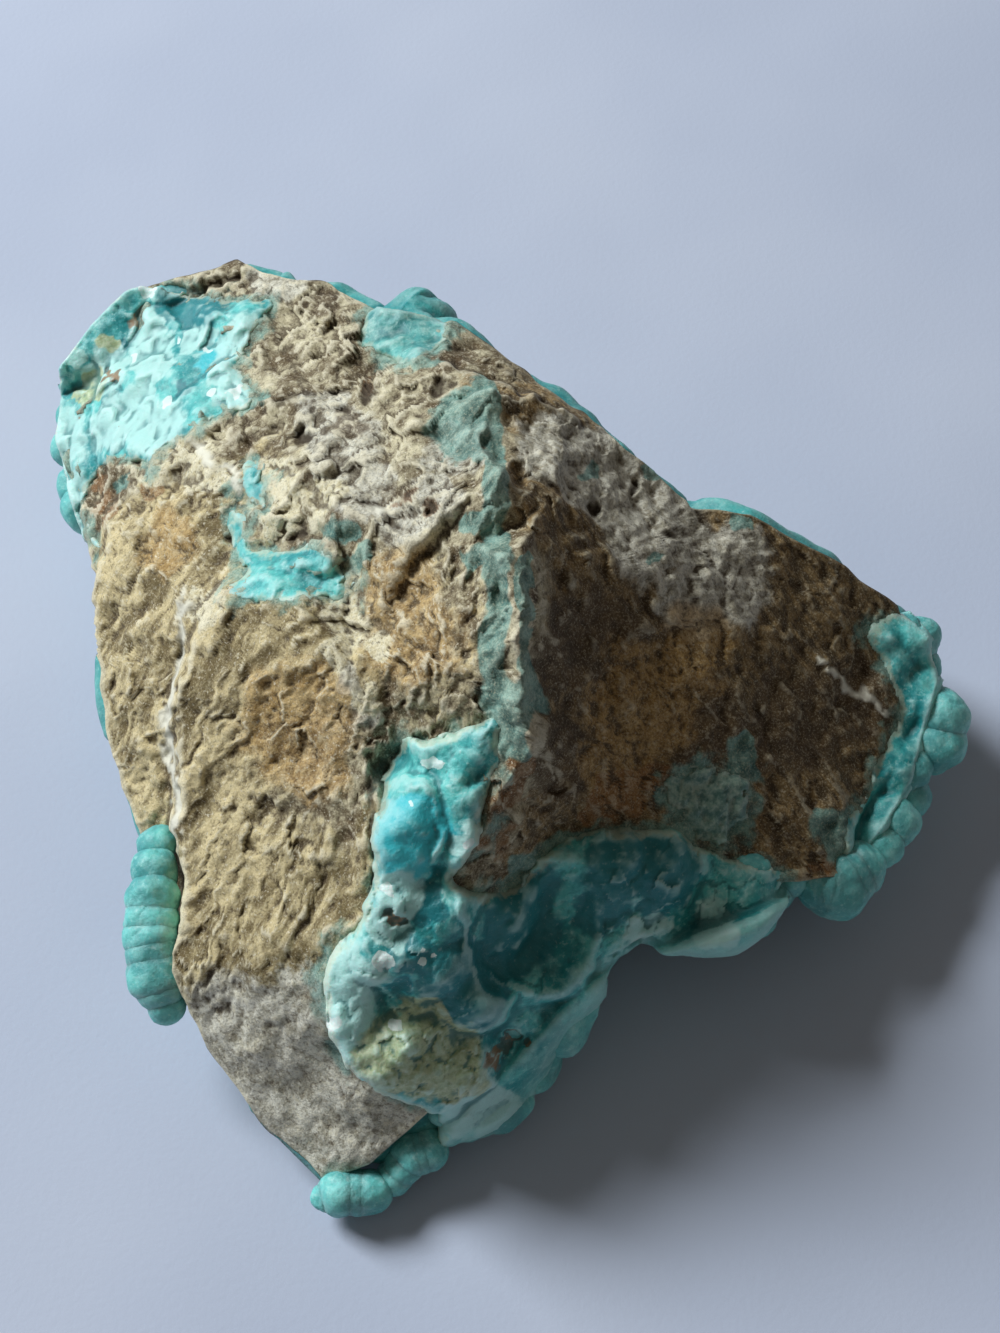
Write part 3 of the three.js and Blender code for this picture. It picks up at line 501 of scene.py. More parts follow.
def depth_inside(ab, outline):
    """How far places lie inside a closed outline, less than 0 outside it: the least distance to its sides,
    with the sign from how often a line across meets them."""
    least = np.full(ab.shape[:-1], 1e3)
    inside = np.zeros(ab.shape[:-1], bool)
    for start, end in zip(outline, np.roll(outline, -1, axis=0)):
        along = end - start
        share = np.clip(((ab - start) @ along) / max(along @ along, 1e-9), 0, 1)
        least = np.minimum(least, np.linalg.norm(ab - start - share[..., None] * along, axis=-1))
        beside_it = (start[1] > ab[..., 1]) != (end[1] > ab[..., 1])
        crossing = start[0] + (ab[..., 1] - start[1]) * along[0] / (along[1] if along[1] else 1e-9)
        inside ^= beside_it & (ab[..., 0] < crossing)
    return np.where(inside, least, -least)


# ---------------------------------------------------------------- the flat-faceted stone


def on_break(p):
    """Places on the break, (across, uphill, outward), counted from CORE: the dot product with each axis."""
    return (p - CORE) @ np.stack([ACROSS, UPHILL, OUTWARD], axis=1)


def off_break(across, uphill, outward):
    """The points in space over places on the break: CORE plus so much of each axis."""
    return CORE + across[..., None] * ACROSS + uphill[..., None] * UPHILL + outward[..., None] * OUTWARD


def joined(points):
    """The facets that join points round CORE: the corners of the hull of their directions."""
    directions = points - CORE
    directions /= np.linalg.norm(directions, axis=1)[:, None]
    hull = bmesh.new()
    for place in directions:
        hull.verts.new(place)
    hull.verts.index_update()
    bmesh.ops.convex_hull(hull, input=hull.verts)
    bmesh.ops.triangulate(hull, faces=hull.faces)
    facets = np.array([[v.index for v in face.verts] for face in hull.faces])
    hull.free()
    a, b, c = (directions[facets[:, k]] for k in range(3))
    inward = (np.cross(b - a, c - a) * a).sum(1) < 0
    facets[inward] = facets[inward][:, ::-1]
    return facets


GROUPS = list(STONE)
cage = np.array([p for _, points in STONE.values() for p in surveyed(points)] + HIDDEN, float)
cage_group = np.array(
    [k for k, (_, points) in enumerate(STONE.values()) for _ in points] + [-1] * len(HIDDEN)
)
cage_rough = np.array([STONE[GROUPS[k]][0] if k >= 0 else 0.0 for k in cage_group])
facets = joined(cage)
cage_ab = on_break(cage)


MISSED = -99.0  # the highest level where no facet lies over a place, and less than any other
REACH_STEPS = 2401  # how many angles the table of the outline has


def stone_levels(across, uphill):
    """Over places on the break: the highest and lowest outward level of the stone's facets, and the share
    that each surveyed point has in the highest, from the place's share of each corner of the facet."""
    shape = across.shape
    across, uphill = across.ravel(), uphill.ravel()
    top = np.full(across.shape, MISSED)
    low = np.full(across.shape, -MISSED)
    corners = np.zeros((len(across), 3), int)
    shares = np.zeros((len(across), 3))
    for facet in facets:
        a, b, c = cage_ab[facet]
        area = (b[0] - a[0]) * (c[1] - a[1]) - (c[0] - a[0]) * (b[1] - a[1])
        lo, hi = cage_ab[facet].min(0) - 1e-3, cage_ab[facet].max(0) + 1e-3
        near = np.flatnonzero((across > lo[0]) & (across < hi[0]) & (uphill > lo[1]) & (uphill < hi[1]))
        x, y = across[near] - a[0], uphill[near] - a[1]
        u = (x * (c[1] - a[1]) - (c[0] - a[0]) * y) / area
        v = ((b[0] - a[0]) * y - x * (b[1] - a[1])) / area
        inside = (u > -1e-4) & (v > -1e-4) & (u + v < 1 + 1e-4)
        near, u, v = near[inside], u[inside], v[inside]
        level = a[2] + u * (b[2] - a[2]) + v * (c[2] - a[2])
        low[near] = np.minimum(low[near], level)
        higher = level > top[near]
        at = near[higher]
        top[at] = level[higher]
        corners[at] = facet
        shares[at] = np.stack([1 - u - v, u, v], axis=1)[higher]
    return top.reshape(shape), low.reshape(shape), corners.reshape(*shape, 3), shares.reshape(*shape, 3)


def stone_reach(angle):
    """How far lines from CORE, in the plane of the break, run before they leave the stone's outline."""
    cos, sin = np.cos(angle)[:, None], np.sin(angle)[:, None]
    start = cage_ab[facets].reshape(-1, 3)
    end = cage_ab[np.roll(facets, -1, axis=1)].reshape(-1, 3)
    side_start = cos * start[:, 1] - sin * start[:, 0]
    side_end = cos * end[:, 1] - sin * end[:, 0]
    crossed = side_start * side_end <= 0
    share = np.where(crossed, side_start / np.where(side_start == side_end, 1, side_start - side_end), 0)
    out_start = cos * start[:, 0] + sin * start[:, 1]
    out_end = cos * end[:, 0] + sin * end[:, 1]
    return np.where(crossed, out_start + share * (out_end - out_start), 0).max(1)


def outline_reach(angle):
    """The stone's reach at any angles, read between those of a fine table."""
    table = np.linspace(-math.pi, math.pi, REACH_STEPS)
    turned = (angle + math.pi) % (2 * math.pi) - math.pi
    return np.interp(turned, table, REACH_TABLE)


def ray_reach(directions):
    """How far rays from CORE run before they meet the stone: each is tried against every facet's plane."""
    reach = np.zeros(len(directions))
    for facet in facets:
        a, b, c = cage[facet] - CORE
        normal = np.cross(b - a, c - a)
        facing = directions @ normal
        distance = (normal @ a) / np.where(np.abs(facing) < 1e-9, 1e-9, facing)
        hit = directions * distance[:, None]
        slack = -1e-5 * (normal @ normal)
        inside = distance > 0
        for p, q in ((a, b), (b, c), (c, a)):
            inside &= np.cross(q - p, hit - p) @ normal >= slack
        reach = np.where(inside, np.maximum(reach, distance), reach)
    return reach


REACH_TABLE = stone_reach(np.linspace(-math.pi, math.pi, REACH_STEPS))


def placed(rows):
    """Rows (pixel, pixel, ...) as (across, uphill, ...): the line of sight is cut with the stone's level
    where it was cut before, four times over. A pixel beside the stone takes the level at its outline."""
    places = [list(row) for row in rows]
    picked = [k for k, row in enumerate(rows) if not isinstance(row, InMillimetres)]
    if picked:
        eye, way = sight(*np.array([rows[k][:2] for k in picked], float).T)
        eye, way = on_break(eye), on_break(way + CORE)
        level = np.zeros(len(picked))
        for _ in range(4):
            cut = eye + way * ((level - eye[2]) / way[:, 2])[:, None]
            across, uphill = cut[:, 0], cut[:, 1]
            reach = outline_reach(np.arctan2(uphill, across)) / np.maximum(np.hypot(across, uphill), 0.1)
            inward = np.minimum(1, 0.97 * reach)
            level = stone_levels(across * inward, uphill * inward)[0]
        for k, place in zip(picked, cut):
            places[k][:2] = place[:2]
    return [tuple(place) for place in places]


STONE_SPOTS, CRUST_SPOTS, OUTLINES = (
    {name: placed(rows) for name, rows in table.items()} for table in (STONE_SPOTS, CRUST_SPOTS, OUTLINES)
)
PITS = placed(PITS)
SEAMS = [(width, placed(line)) for width, line in SEAMS]
VEINS = {name: (width, placed(line)) for name, (width, line) in VEINS.items()}
CRACKS, RIMS = (
    {name: (size, width, placed(line)) for name, (size, width, line) in table.items()}
    for table in (CRACKS, RIMS)
)

# ---------------------------------------------------------------- meshes


def folded_square(half):
    """The corners of a square grid folded ring by ring onto a disc: each one's angle, and its share of the
    way from the middle to the rim. Even steps along a side of the square are even steps of angle."""
    i, j = np.meshgrid(np.arange(-half, half + 1), np.arange(-half, half + 1), indexing="ij")
    sideways = np.abs(i) >= np.abs(j)
    flat = math.pi / 4 * j / np.where(sideways & (i != 0), i, 1) + np.where(i < 0, math.pi, 0)
    steep = math.pi / 2 - math.pi / 4 * i / np.where(j != 0, j, 1) + np.where(j < 0, math.pi, 0)
    return np.where(sideways, flat, steep), np.maximum(np.abs(i), np.abs(j)) / half


def square_faces(half):
    """Two triangles for each cell of that grid, split so that no corner of the square is cut off."""
    n = 2 * half + 1
    i, j = np.meshgrid(np.arange(n - 1), np.arange(n - 1), indexing="ij")
    a, b, c, d = i * n + j, (i + 1) * n + j, (i + 1) * n + j + 1, i * n + j + 1
    along = (i - half + 0.5) * (j - half + 0.5) > 0
    first = np.where(along[..., None], np.stack([a, b, c], -1), np.stack([a, b, d], -1))
    other = np.where(along[..., None], np.stack([a, c, d], -1), np.stack([b, c, d], -1))
    return np.concatenate([first.reshape(-1, 3), other.reshape(-1, 3)])


def rim_of(half):
    """The grid's outer corners in order round the disc."""
    n = 2 * half + 1
    k = np.arange(n - 1)
    right, top = (n - 1) * n + k, (n - 1 - k) * n + n - 1
    left, bottom = n - 1 - k, k * n
    return np.concatenate([right, top, left, bottom])


def closed_by_rings(top, half, rings, pole):
    """A closed body: the folded grid on top, then rings of points under it that start at its rim, and a fan
    to the pole. The rings run the same way round as the rim."""
    n = (2 * half + 1) ** 2
    rim = rim_of(half)
    count = len(rim)
    loops = [rim] + [n + k * count + np.arange(count) for k in range(len(rings))]
    faces = [square_faces(half)]
    for outer, inner in zip(loops[:-1], loops[1:]):
        after, beyond = np.roll(outer, -1), np.roll(inner, -1)
        faces += [np.stack([outer, inner, beyond], -1), np.stack([outer, beyond, after], -1)]
    tip = np.full(count, n + len(rings) * count)
    faces.append(np.stack([loops[-1], tip, np.roll(loops[-1], -1)], -1))
    points = np.concatenate([top.reshape(-1, 3), *[ring.reshape(-1, 3) for ring in rings], pole[None]])
    return points, np.concatenate(faces)


def mesh_piece(name, points, faces, material, slot, nodes=(), **masks):
    """Puts points in millimetres and their faces into a smooth mesh that rides on the one body. The masks
    are given for the first points, and read 0 at the rest."""
    mesh = bpy.data.meshes.new(name)
    mesh.from_pydata((points * MM).tolist(), [], faces.tolist())
    mesh.shade_smooth()
    for key, mask in masks.items():
        values = np.zeros(len(points), np.float32)
        values[: np.size(mask)] = np.ravel(mask)
        mesh.attributes.new(key, "FLOAT", "POINT").data.foreach_set("value", values)
    piece = bpy.data.objects.new(name, mesh)
    bpy.context.scene.collection.objects.link(piece)
    mesh.materials.append(material)
    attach(piece, "root")
    if nodes:
        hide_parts(*nodes)
    return piece


def softened(grid, rounds):
    """Each value of a grid averaged with its neighbours along both of its ways, so many times."""
    for _ in range(rounds):
        padded = np.pad(grid, [(1, 1), (1, 1)] + [(0, 0)] * (grid.ndim - 2), mode="edge")
        grid = (padded[:-2, 1:-1] + padded[2:, 1:-1] + padded[1:-1, :-2] + padded[1:-1, 2:]) / 8 + grid / 2
    return grid


def grid_normals(p):
    """The outward normal at each corner of a grid of points: the cross product of the two ways' steps."""
    normal = np.cross(np.gradient(p, axis=0), np.gradient(p, axis=1))
    return normal / np.maximum(np.linalg.norm(normal, axis=-1), 1e-9)[..., None]


def calm(across, uphill, level):
    """1 on ground that faces outward, less on steep ground: 1.5 times the normal's share of OUTWARD."""
    facing = np.abs(grid_normals(off_break(across, uphill, level)) @ OUTWARD)
    return softened(np.clip(1.5 * facing, 0.12, 1), 2)


def hollowness(level, cell, reach):
    """From 0 in hollows to 1 on ridges, 0.5 on even ground: a level against its average over some reach."""
    rounds = max(1, int(round((reach / cell) ** 2)))
    rounds = min(rounds, 60)
    return 0.5 + 0.5 * np.clip((level - softened(level, rounds)) / (0.25 * reach), -1, 1)


UNDER_RINGS = 14


def under_shares(count=UNDER_RINGS, gather=1.7):
    """Shares of the way from the middle to the rim for the rings under a sheet, closest at the rim."""
    return 1 - (np.arange(1, count) / count) ** gather


# ---------------------------------------------------------------- the stone

FACET_WAY = (0.585, 0.81)  # which way on the break the grooves run on the long and the left facet,
SLOPE_WAY = (0.62, -0.78)  # on the long slope
BLOCK_WAY = (0.25, 0.97)  # and on the brown block
STONE_CELL = 0.34  # how far apart the corners of the stone's grid lie, about
BACK_CELL = 0.4  # and those of the hidden crust's


def streaks(ab, away, across_scale, along_scale, seed):
    """Long grooves, -1 to 1: layered noise read in coordinates turned to run along away and stretched."""
    away = np.array(away) / np.hypot(*away)
    along = ab @ away
    aside = ab @ np.array([-away[1], away[0]])
    stretched = np.stack([aside / across_scale, along / along_scale, np.zeros_like(along)], axis=-1)
    return layered(stretched, 1.0, seed, 3)


def group_share(corners, shares, *names):
    """How much of each place belongs to the named groups of surveyed points, from 0 to 1."""
    chosen = np.isin(cage_group, [GROUPS.index(name) for name in names])
    return (shares * chosen[corners]).sum(-1)


def facet_levels(across, uphill):
    """The highest and lowest levels of the flat facets, the highest read at places that noise pushes about
    so that no edge is straight, with its corners and shares. The last is 0 at the outline and 1 inside."""
    flat = off_break(across, uphill, 0 * across)
    inner = np.clip((outline_reach(np.arctan2(uphill, across)) - np.hypot(across, uphill)) / 2.0, 0, 1)
    push_a = inner * (0.8 * layered(flat, 3.2, 11, 3) + 0.25 * noise(flat, 0.8, 14))
    push_b = inner * (0.8 * layered(flat, 3.2, 21, 3) + 0.25 * noise(flat, 0.8, 24))
    top, _, corners, shares = stone_levels(across + push_a, uphill + push_b)
    unmoved, low, _, _ = stone_levels(across, uphill)
    top = np.where(top == MISSED, unmoved, top)
    top = softened(np.where(top == MISSED, softened(top, 1), top), 1)
    return top, low, corners, shares, inner


def pits_and_cracks(p, ab, wander, rugged, front):
    """How deep the hollows of the stone are, and how dark their painted shade is: fine pits in patches, the
    larger pits, which are round about a place, and the cracks, which fall off beside a line."""
    pitted = eased(noise(p, 5.0, 122), -0.1, 0.4)
    fine_pits = pitted * buttons(p, 1.2, 121, 0.34)
    deep = (0.06 + 0.7 * rugged + 0.12 * front) * 0.6 * fine_pits
    dark = 0.7 * fine_pits * rugged
    for across_at, uphill_at, radius in PITS:
        away = np.hypot(wander[..., 0] - across_at, wander[..., 1] - uphill_at)
        hole = 1 - eased(away, 0.35 * radius, 1.15 * radius)
        deep += 0.9 * radius * hole
        dark = np.maximum(dark, hole)
    for depth, width, line in CRACKS.values():
        gap = 1 - eased(beside(wander * 0.6 + ab * 0.4, line), 0.2 * width, width)
        deep += depth * gap
        dark = np.maximum(dark, 0.8 * gap)
    return deep, dark


def broken_side(across, uphill):
    """The stone's broken side over places on the break: the highest level of the flat facets plus chips,
    grooves and veins, less pits and cracks. Gives the level, the lowest level of the facets and the masks
    of the finish."""
    top, low, corners, shares, inner = facet_levels(across, uphill)
    rough = (shares * cage_rough[corners]).sum(-1)

    p = off_break(across, uphill, top)
    ab = np.stack([across, uphill], -1)
    wander = ab + np.stack([layered(p, 2.6, 31, 3), layered(p, 2.6, 41, 3)], -1) * 1.1
    facet_a = group_share(corners, shares, "large_facet")
    facet_b = group_share(corners, shares, "left_facet")
    slope = group_share(corners, shares, "long_slope", "slope_foot", "back_rim")
    block = group_share(corners, shares, "brown_block")
    front = group_share(corners, shares, "front_facet")
    rugged = np.clip(1.15 * rough, 0, 1) * (1 - 0.5 * slope) * (1 - 0.97 * front)

    lift = 0.8 * rugged * (noise(p, 4.5, 3) + 0.6 * noise(p, 2.0, 4))
    turned = p + 0.6 * noise(p, 1.5, 51)[..., None]
    lift += (0.06 + 0.9 * rugged) * 0.95 * chips(turned, 3.6, 52)
    lift += (0.06 + 0.8 * rugged) * 0.24 * chips(turned, 1.5, 61)
    lift += (0.05 + 0.1 * rugged) * layered(p, 0.7, 71, 2)
    grooves = streaks(wander, FACET_WAY, 1.5, 11, 81)
    fine_grooves = streaks(wander, FACET_WAY, 0.5, 5, 91)
    lift += (facet_a + 0.8 * facet_b) * (0.34 * grooves + 0.17 * fine_grooves)
    lift += slope * 0.3 * streaks(wander, SLOPE_WAY, 1.3, 7, 101)
    lift += block * 0.4 * streaks(wander, BLOCK_WAY, 0.9, 4, 111)
    deep, dark = pits_and_cracks(p, ab, wander, rugged, front)
    lift -= deep
    white = np.zeros_like(top)
    for width, line in VEINS.values():
        ragged = beside(wander * 0.7 + ab * 0.3, line) + 0.5 * noise(p, 0.8, 131)
        white = np.maximum(white, 1 - eased(ragged, 0.2 * width, width))
    lift += 0.1 * white
    level = top + lift * np.minimum(1, 0.25 + inner) * calm(across, uphill, softened(top, 3))

    masks = {key: spots(wander, places) for key, places in STONE_SPOTS.items()}
    for width, line in SEAMS:
        seam = 1 - eased(beside(wander * 0.6 + ab * 0.4, line), 0.3 * width, width)
        masks["teal"] = np.maximum(masks["teal"], 1.2 * seam)
    masks["tan"] = np.clip(facet_a + 0.9 * facet_b + 0.4 * block, 0, 1)
    masks["brown"] = np.clip(slope, 0, 1)
    masks["front"] = front
    masks["groove"] = 0.5 + 0.5 * np.clip(0.8 * grooves + 0.7 * fine_grooves, -1, 1)
    # painted shade in the pits and cracks
    masks["pit_shade"] = np.clip(dark, 0, 1)
    masks["white"] = white
    return level, low, masks


def build_stone(material):
    """The stone: its broken side on a square grid folded onto its outline, closed by rings that follow the
    lowest level of the facets."""
    half = 142
    angle, share = folded_square(half)
    ragged = noise(np.stack([9 * np.cos(angle), 9 * np.sin(angle), 0 * angle], -1), 0.5, 5)
    reach = outline_reach(angle) - 0.02 - 0.35 * (1 + ragged)
    across, uphill = share * reach * np.cos(angle), share * reach * np.sin(angle)
    level, low, masks = broken_side(across, uphill)
    level = np.where(share == 1, (level + low) / 2, np.maximum(level, low + 0.1))
    points = off_break(across, uphill, level)
    # the ridge and edge masks carry the painted highlights and painted shade of the finishes
    masks["ridge"] = hollowness(level, STONE_CELL, 1.1)
    masks["edge"] = hollowness(level, STONE_CELL, 0.45)
    wander = 1.2 * np.stack([layered(points, 2.0, seed, 3) for seed in (381, 391)], -1)
    ab = np.stack([across, uphill], -1) + wander
    for outline in OUTLINES.values():
        near = eased(depth_inside(ab, np.array(outline)), -2.2, 0.3)
        masks["teal"] = np.maximum(masks["teal"], 0.75 * near)

    rings = []
    rim_angle, rim_reach = angle.ravel()[rim_of(half)], reach.ravel()[rim_of(half)]
    for part in under_shares():
        ring_a, ring_b = part * rim_reach * np.cos(rim_angle), part * rim_reach * np.sin(rim_angle)
        _, ring_low, _, _ = stone_levels(ring_a, ring_b)
        rings.append(off_break(ring_a, ring_b, np.minimum(ring_low, 40) + 0.1))
    _, pole_low, _, _ = stone_levels(np.zeros(1), np.zeros(1))
    pole = off_break(np.zeros(1), np.zeros(1), pole_low)[0]
    body, faces = closed_by_rings(points, half, rings, pole)
    return mesh_piece("matrix_stone_body", body, faces, material, "matrix_stone", ["matrix_stone"], **masks)


# ---------------------------------------------------------------- the crust


def hidden_lobes(spacing, radii, tries, lean, depth, seed):
    """Lobes over every side whose normal leans to OUTWARD by less than lean: places in order round a spiral
    of directions, each kept if no lobe stands nearer than the spacing. Each sinks by a share of its radius,
    depth."""
    i = np.arange(tries)
    z = 1 - 2 * (i + 0.5) / tries
    turn = i * math.pi * (3 - math.sqrt(5))
    ring = np.sqrt(1 - z * z)
    directions = np.stack([ring * np.cos(turn), ring * np.sin(turn), z], -1)
    feet = CORE + directions * ray_reach(directions)[:, None]
    step = 1e-3
    nudge = [np.cross(directions, axis) * step for axis in (ACROSS + 0.1, UPHILL)]
    near = [directions + move for move in nudge]
    near = [d / np.linalg.norm(d, axis=1)[:, None] for d in near]
    sides = [CORE + d * ray_reach(d)[:, None] - feet for d in near]
    normal = np.cross(*sides)
    normal /= np.maximum(np.linalg.norm(normal, axis=1), 1e-12)[:, None]
    normal *= np.sign((normal * directions).sum(1))[:, None]
    size = radii[0] + (radii[1] - radii[0]) * hashed(np.stack([i, 0 * i, 0 * i], -1), seed)
    kept = []
    for k in np.flatnonzero(normal @ OUTWARD < lean):
        if all(np.linalg.norm(feet[k] - feet[m]) > spacing for m in kept):
            kept.append(k)
    centres = feet[kept] - normal[kept] * (depth * size[kept])[:, None]
    return np.concatenate([centres, size[kept, None]], axis=1)


def far_side(p, way, balls, limit):
    """How far points move along their ways to reach the far side of the furthest ball within the limit."""
    best = np.zeros(p.shape[:-1])
    for *centre, radius in balls:
        from_centre = p - np.array(centre)
        along = -(from_centre * way).sum(-1)
        inside = along**2 - (from_centre**2).sum(-1) + radius**2
        reach = along + np.sqrt(np.maximum(inside, 0))
        best = np.where((inside > 0) & (reach < limit), np.maximum(best, reach), best)
    return best


def crust_detail(p, smooth):
    """Small relief of the crust, in millimetres: two sizes of round button, faint where the crust is
    smooth, and a fine waviness."""
    warp = p + 0.35 * np.stack([noise(p, 1.7, s) for s in (201, 202, 203)], -1)
    large = buttons(warp, 3.1, 211)
    small = buttons(warp, 1.35, 221)
    patchy = eased(noise(p, 4.0, 204), -0.3, 0.5)
    relief = (1 - smooth) * (0.34 * large + 0.16 * patchy * small) + 0.04 * smooth * small
    return relief + (0.13 - 0.06 * smooth) * layered(p, 1.1, 231, 3)


RIM_LOBES = ("right_edge", "left_edge", "upper_edge", "rear_dome", "apron_rim", "front_right", "front_toe")


def back_skin(angle, share):
    """The stone's skin from the pole opposite the break to its outline, and its normals. Rays from CORE are
    turned evenly from the pole's way to the outline's, and the skin is rounded off but for its rim."""
    reach = outline_reach(angle) - 0.6
    rim_a, rim_b = reach * np.cos(angle), reach * np.sin(angle)
    rim_top, rim_low, _, _ = stone_levels(rim_a, rim_b)
    rim = off_break(rim_a, rim_b, (rim_top + rim_low) / 2) - CORE
    rim /= np.linalg.norm(rim, axis=-1)[..., None]
    pole = -OUTWARD
    bend = np.arccos(np.clip(rim @ pole, -1, 1))
    sine = np.maximum(np.sin(bend), 1e-6)
    to_pole, to_rim = np.sin((1 - share) * bend) / sine, np.sin(share * bend) / sine
    ways = to_pole[..., None] * pole + to_rim[..., None] * rim
    skin = CORE + ways * ray_reach(ways.reshape(-1, 3)).reshape(share.shape)[..., None]
    rounded = softened(skin, 25)
    fixed = eased(share, 0.9, 1.0)[..., None]
    skin = fixed * skin + (1 - fixed) * rounded
    normal = grid_normals(softened(skin, 12))
    normal *= np.sign((normal * ways).sum(-1).mean())
    return skin, normal


def build_back_crust(material):
    """The crust of the hidden sides: the stone's skin on a square grid folded from the pole to the outline,
    moved along its own normals by a coat, by the lobes that stand on it, and by buttons."""
    half = 150
    angle, share = folded_square(half)
    skin, normal = back_skin(angle, share)
    large = hidden_lobes(spacing=7.0, radii=(4.2, 6.0), tries=1600, lean=-0.05, depth=0.5, seed=7)
    medium = hidden_lobes(spacing=3.6, radii=(2.0, 3.2), tries=6000, lean=0.1, depth=0.25, seed=17)
    coat = 1.0 + 0.5 * noise(skin, 6.0, 241)
    wobble = skin + 0.6 * np.stack([noise(skin, 3.5, s) for s in (242, 243, 244)], -1)
    heavy = far_side(wobble, normal, np.concatenate([large, np.array(LOBES["feet"], float)]), 6.5)
    light = far_side(wobble, normal, medium, 3.6)
    height = softened(np.maximum(np.maximum(coat, heavy), light), 1)
    detail = crust_detail(skin, 0.45 * np.ones_like(height)) - 0.3
    height += detail
    height *= 1 - 0.75 * eased(share, 0.84, 0.95)
    patchy = eased(noise(skin, 6.0, 246), -0.2, 0.3)
    height += (0.3 + 0.9 * patchy) * eased(share, 0.80, 0.92)
    height *= 1 - eased(share, 0.955, 1.0)
    height -= 0.8 * eased(share, 0.965, 1.0)
    rim_lobes = [ball for key in RIM_LOBES for ball in LOBES[key]]
    bulge = softened(far_side(wobble, normal, rim_lobes, 8.0), 4)
    height = np.maximum(height, (bulge + detail) * (1 - eased(share, 0.975, 1.0)) - 0.4)
    points = skin + normal * height[..., None]
    points[..., 2] = np.maximum(points[..., 2], 0)

    order = rim_of(half)
    rim_points = points.reshape(-1, 3)[order]
    rings = [CORE + (rim_points - CORE) * part for part in (0.97, 0.9, 0.7, 0.4)]
    inner = [CORE + (ring - CORE) - OUTWARD * drop for ring, drop in zip(rings, (0.5, 1.0, 2.0, 3.0))]
    body, faces = closed_by_rings(points, half, inner, CORE - OUTWARD * 3)
    faces = oriented(body, faces)
    # the ridge and edge masks set painted highlights on the crust's ridges and painted shade in its hollows
    ridge = hollowness(height, BACK_CELL, 1.2)
    nodes = ["botryoidal_crust"]
    return mesh_piece("botryoidal_crust_back", body, faces, material, "blue_green_crust", nodes, ridge=ridge)


def oriented(points, faces):
    """The faces, all turned over if the body's volume, the sum of its facets' tetrahedra, is negative."""
    a, b, c = (points[faces[:, k]] for k in range(3))
    return faces if (np.cross(a, b) * c).sum() > 0 else faces[:, ::-1]


def sheet_levels(across, uphill, groups, scoop=None, fusion=0.7):
    """Outward and inward level of a heap of lobes over places on the break: the far and near half of each
    ball, and beyond its outline a steep skirt. The lobes of one group fuse: their levels are added as
    powers of e over the fusion length. A scoop cuts the outward level back to its own near half."""
    top = np.full(across.shape, MISSED)
    low = np.full(across.shape, -MISSED)
    for group in groups:
        up_sum = np.zeros(across.shape)
        down_sum = np.zeros(across.shape)
        middle = group[:, 2].mean()
        for a, b, c, radius in group:
            away = np.hypot(across - a, uphill - b)
            rise = np.where(away < radius, np.sqrt(np.maximum(radius**2 - away**2, 0)), 6 * (radius - away))
            rise = np.maximum(rise, -20)
            up_sum += np.exp((c - middle + rise) / fusion)
            down_sum += np.exp((middle - c + rise) / fusion)
        top = np.maximum(top, middle + fusion * np.log(up_sum))
        low = np.minimum(low, middle - fusion * np.log(down_sum))
    if scoop is not None:
        a, b, c, radius = scoop
        inside = radius**2 - (across - a) ** 2 - (uphill - b) ** 2
        cut = c - np.sqrt(np.maximum(inside, 0))
        top = np.where(inside > 0, -fusion * np.log(np.exp(-top / fusion) + np.exp(-cut / fusion)), top)
    return top, low


def melted(level, cell, reach, keep):
    """A level with its creases partly filled: its average over a reach and a share of what it departs."""
    even_level = softened(level, max(1, int((reach / cell) ** 2)))
    return even_level + keep * (level - even_level)


def kept_cells(mask):
    """The cells of a grid that a sheet keeps: those whose corners all lie in the mask, after each corner is
    set to what most of its neighbours are, which drops specks and fills pinholes."""
    filled = mask.astype(float)
    for _ in range(3):
        filled = (softened(filled, 2) > 0.5).astype(float)
    inside = filled > 0.5
    return inside[:-1, :-1] & inside[1:, :-1] & inside[1:, 1:] & inside[:-1, 1:]


def closed_sheets(across, uphill, top, low, border, cells):
    """A closed body from the kept cells of a grid: each gives two triangles on the outward sheet and two on
    the inward one, and the corners along the outline belong to both. The outline is evened by moving each
    of its corners half way to the mean of the two next to it."""
    shape = across.shape
    index = np.arange(across.size).reshape(shape)
    a, b, c, d = index[:-1, :-1], index[1:, :-1], index[1:, 1:], index[:-1, 1:]
    faces = np.concatenate([np.stack([q[cells] for q in three], -1) for three in ((a, b, c), (a, c, d))])
    sides = np.concatenate([faces[:, [0, 1]], faces[:, [1, 2]], faces[:, [2, 0]]])
    key = np.sort(sides, axis=1)
    _, first, counts = np.unique(key[:, 0] * across.size + key[:, 1], return_index=True, return_counts=True)
    outline = key[first[counts == 1]]
    place = np.stack([across, uphill], -1).reshape(-1, 2).copy()
    for _ in range(4):
        total = np.zeros_like(place)
        number = np.zeros(len(place))
        for one, other in ((0, 1), (1, 0)):
            np.add.at(total, outline[:, one], place[outline[:, other]])
            np.add.at(number, outline[:, one], 1)
        moved = number > 0
        place[moved] = place[moved] / 2 + total[moved] / number[moved, None] / 2
    on_outline = np.zeros(across.size, bool)
    on_outline[outline] = True
    used = np.zeros(across.size, bool)
    used[faces] = True
    upper = np.where(on_outline, border.ravel(), top.ravel())
    number = np.cumsum(used) - 1
    inner = used & ~on_outline
    under = np.where(inner, used.sum() + np.cumsum(inner) - 1, number)
    points = np.concatenate([
        off_break(place[used, 0], place[used, 1], upper[used]),
        off_break(place[inner, 0], place[inner, 1], low.ravel()[inner]),
    ])
    return points, np.concatenate([number[faces], under[faces][:, ::-1]]), used, inner


def curved(outline):
    """A closed outline with its corners cut twice: each side keeps its points at 1/4 and 3/4."""
    points = np.array(outline, float)
    for _ in range(2):
        after = np.roll(points, -1, axis=0)
        points = np.stack([0.75 * points + 0.25 * after, 0.25 * points + 0.75 * after], 1).reshape(-1, 2)
    return points


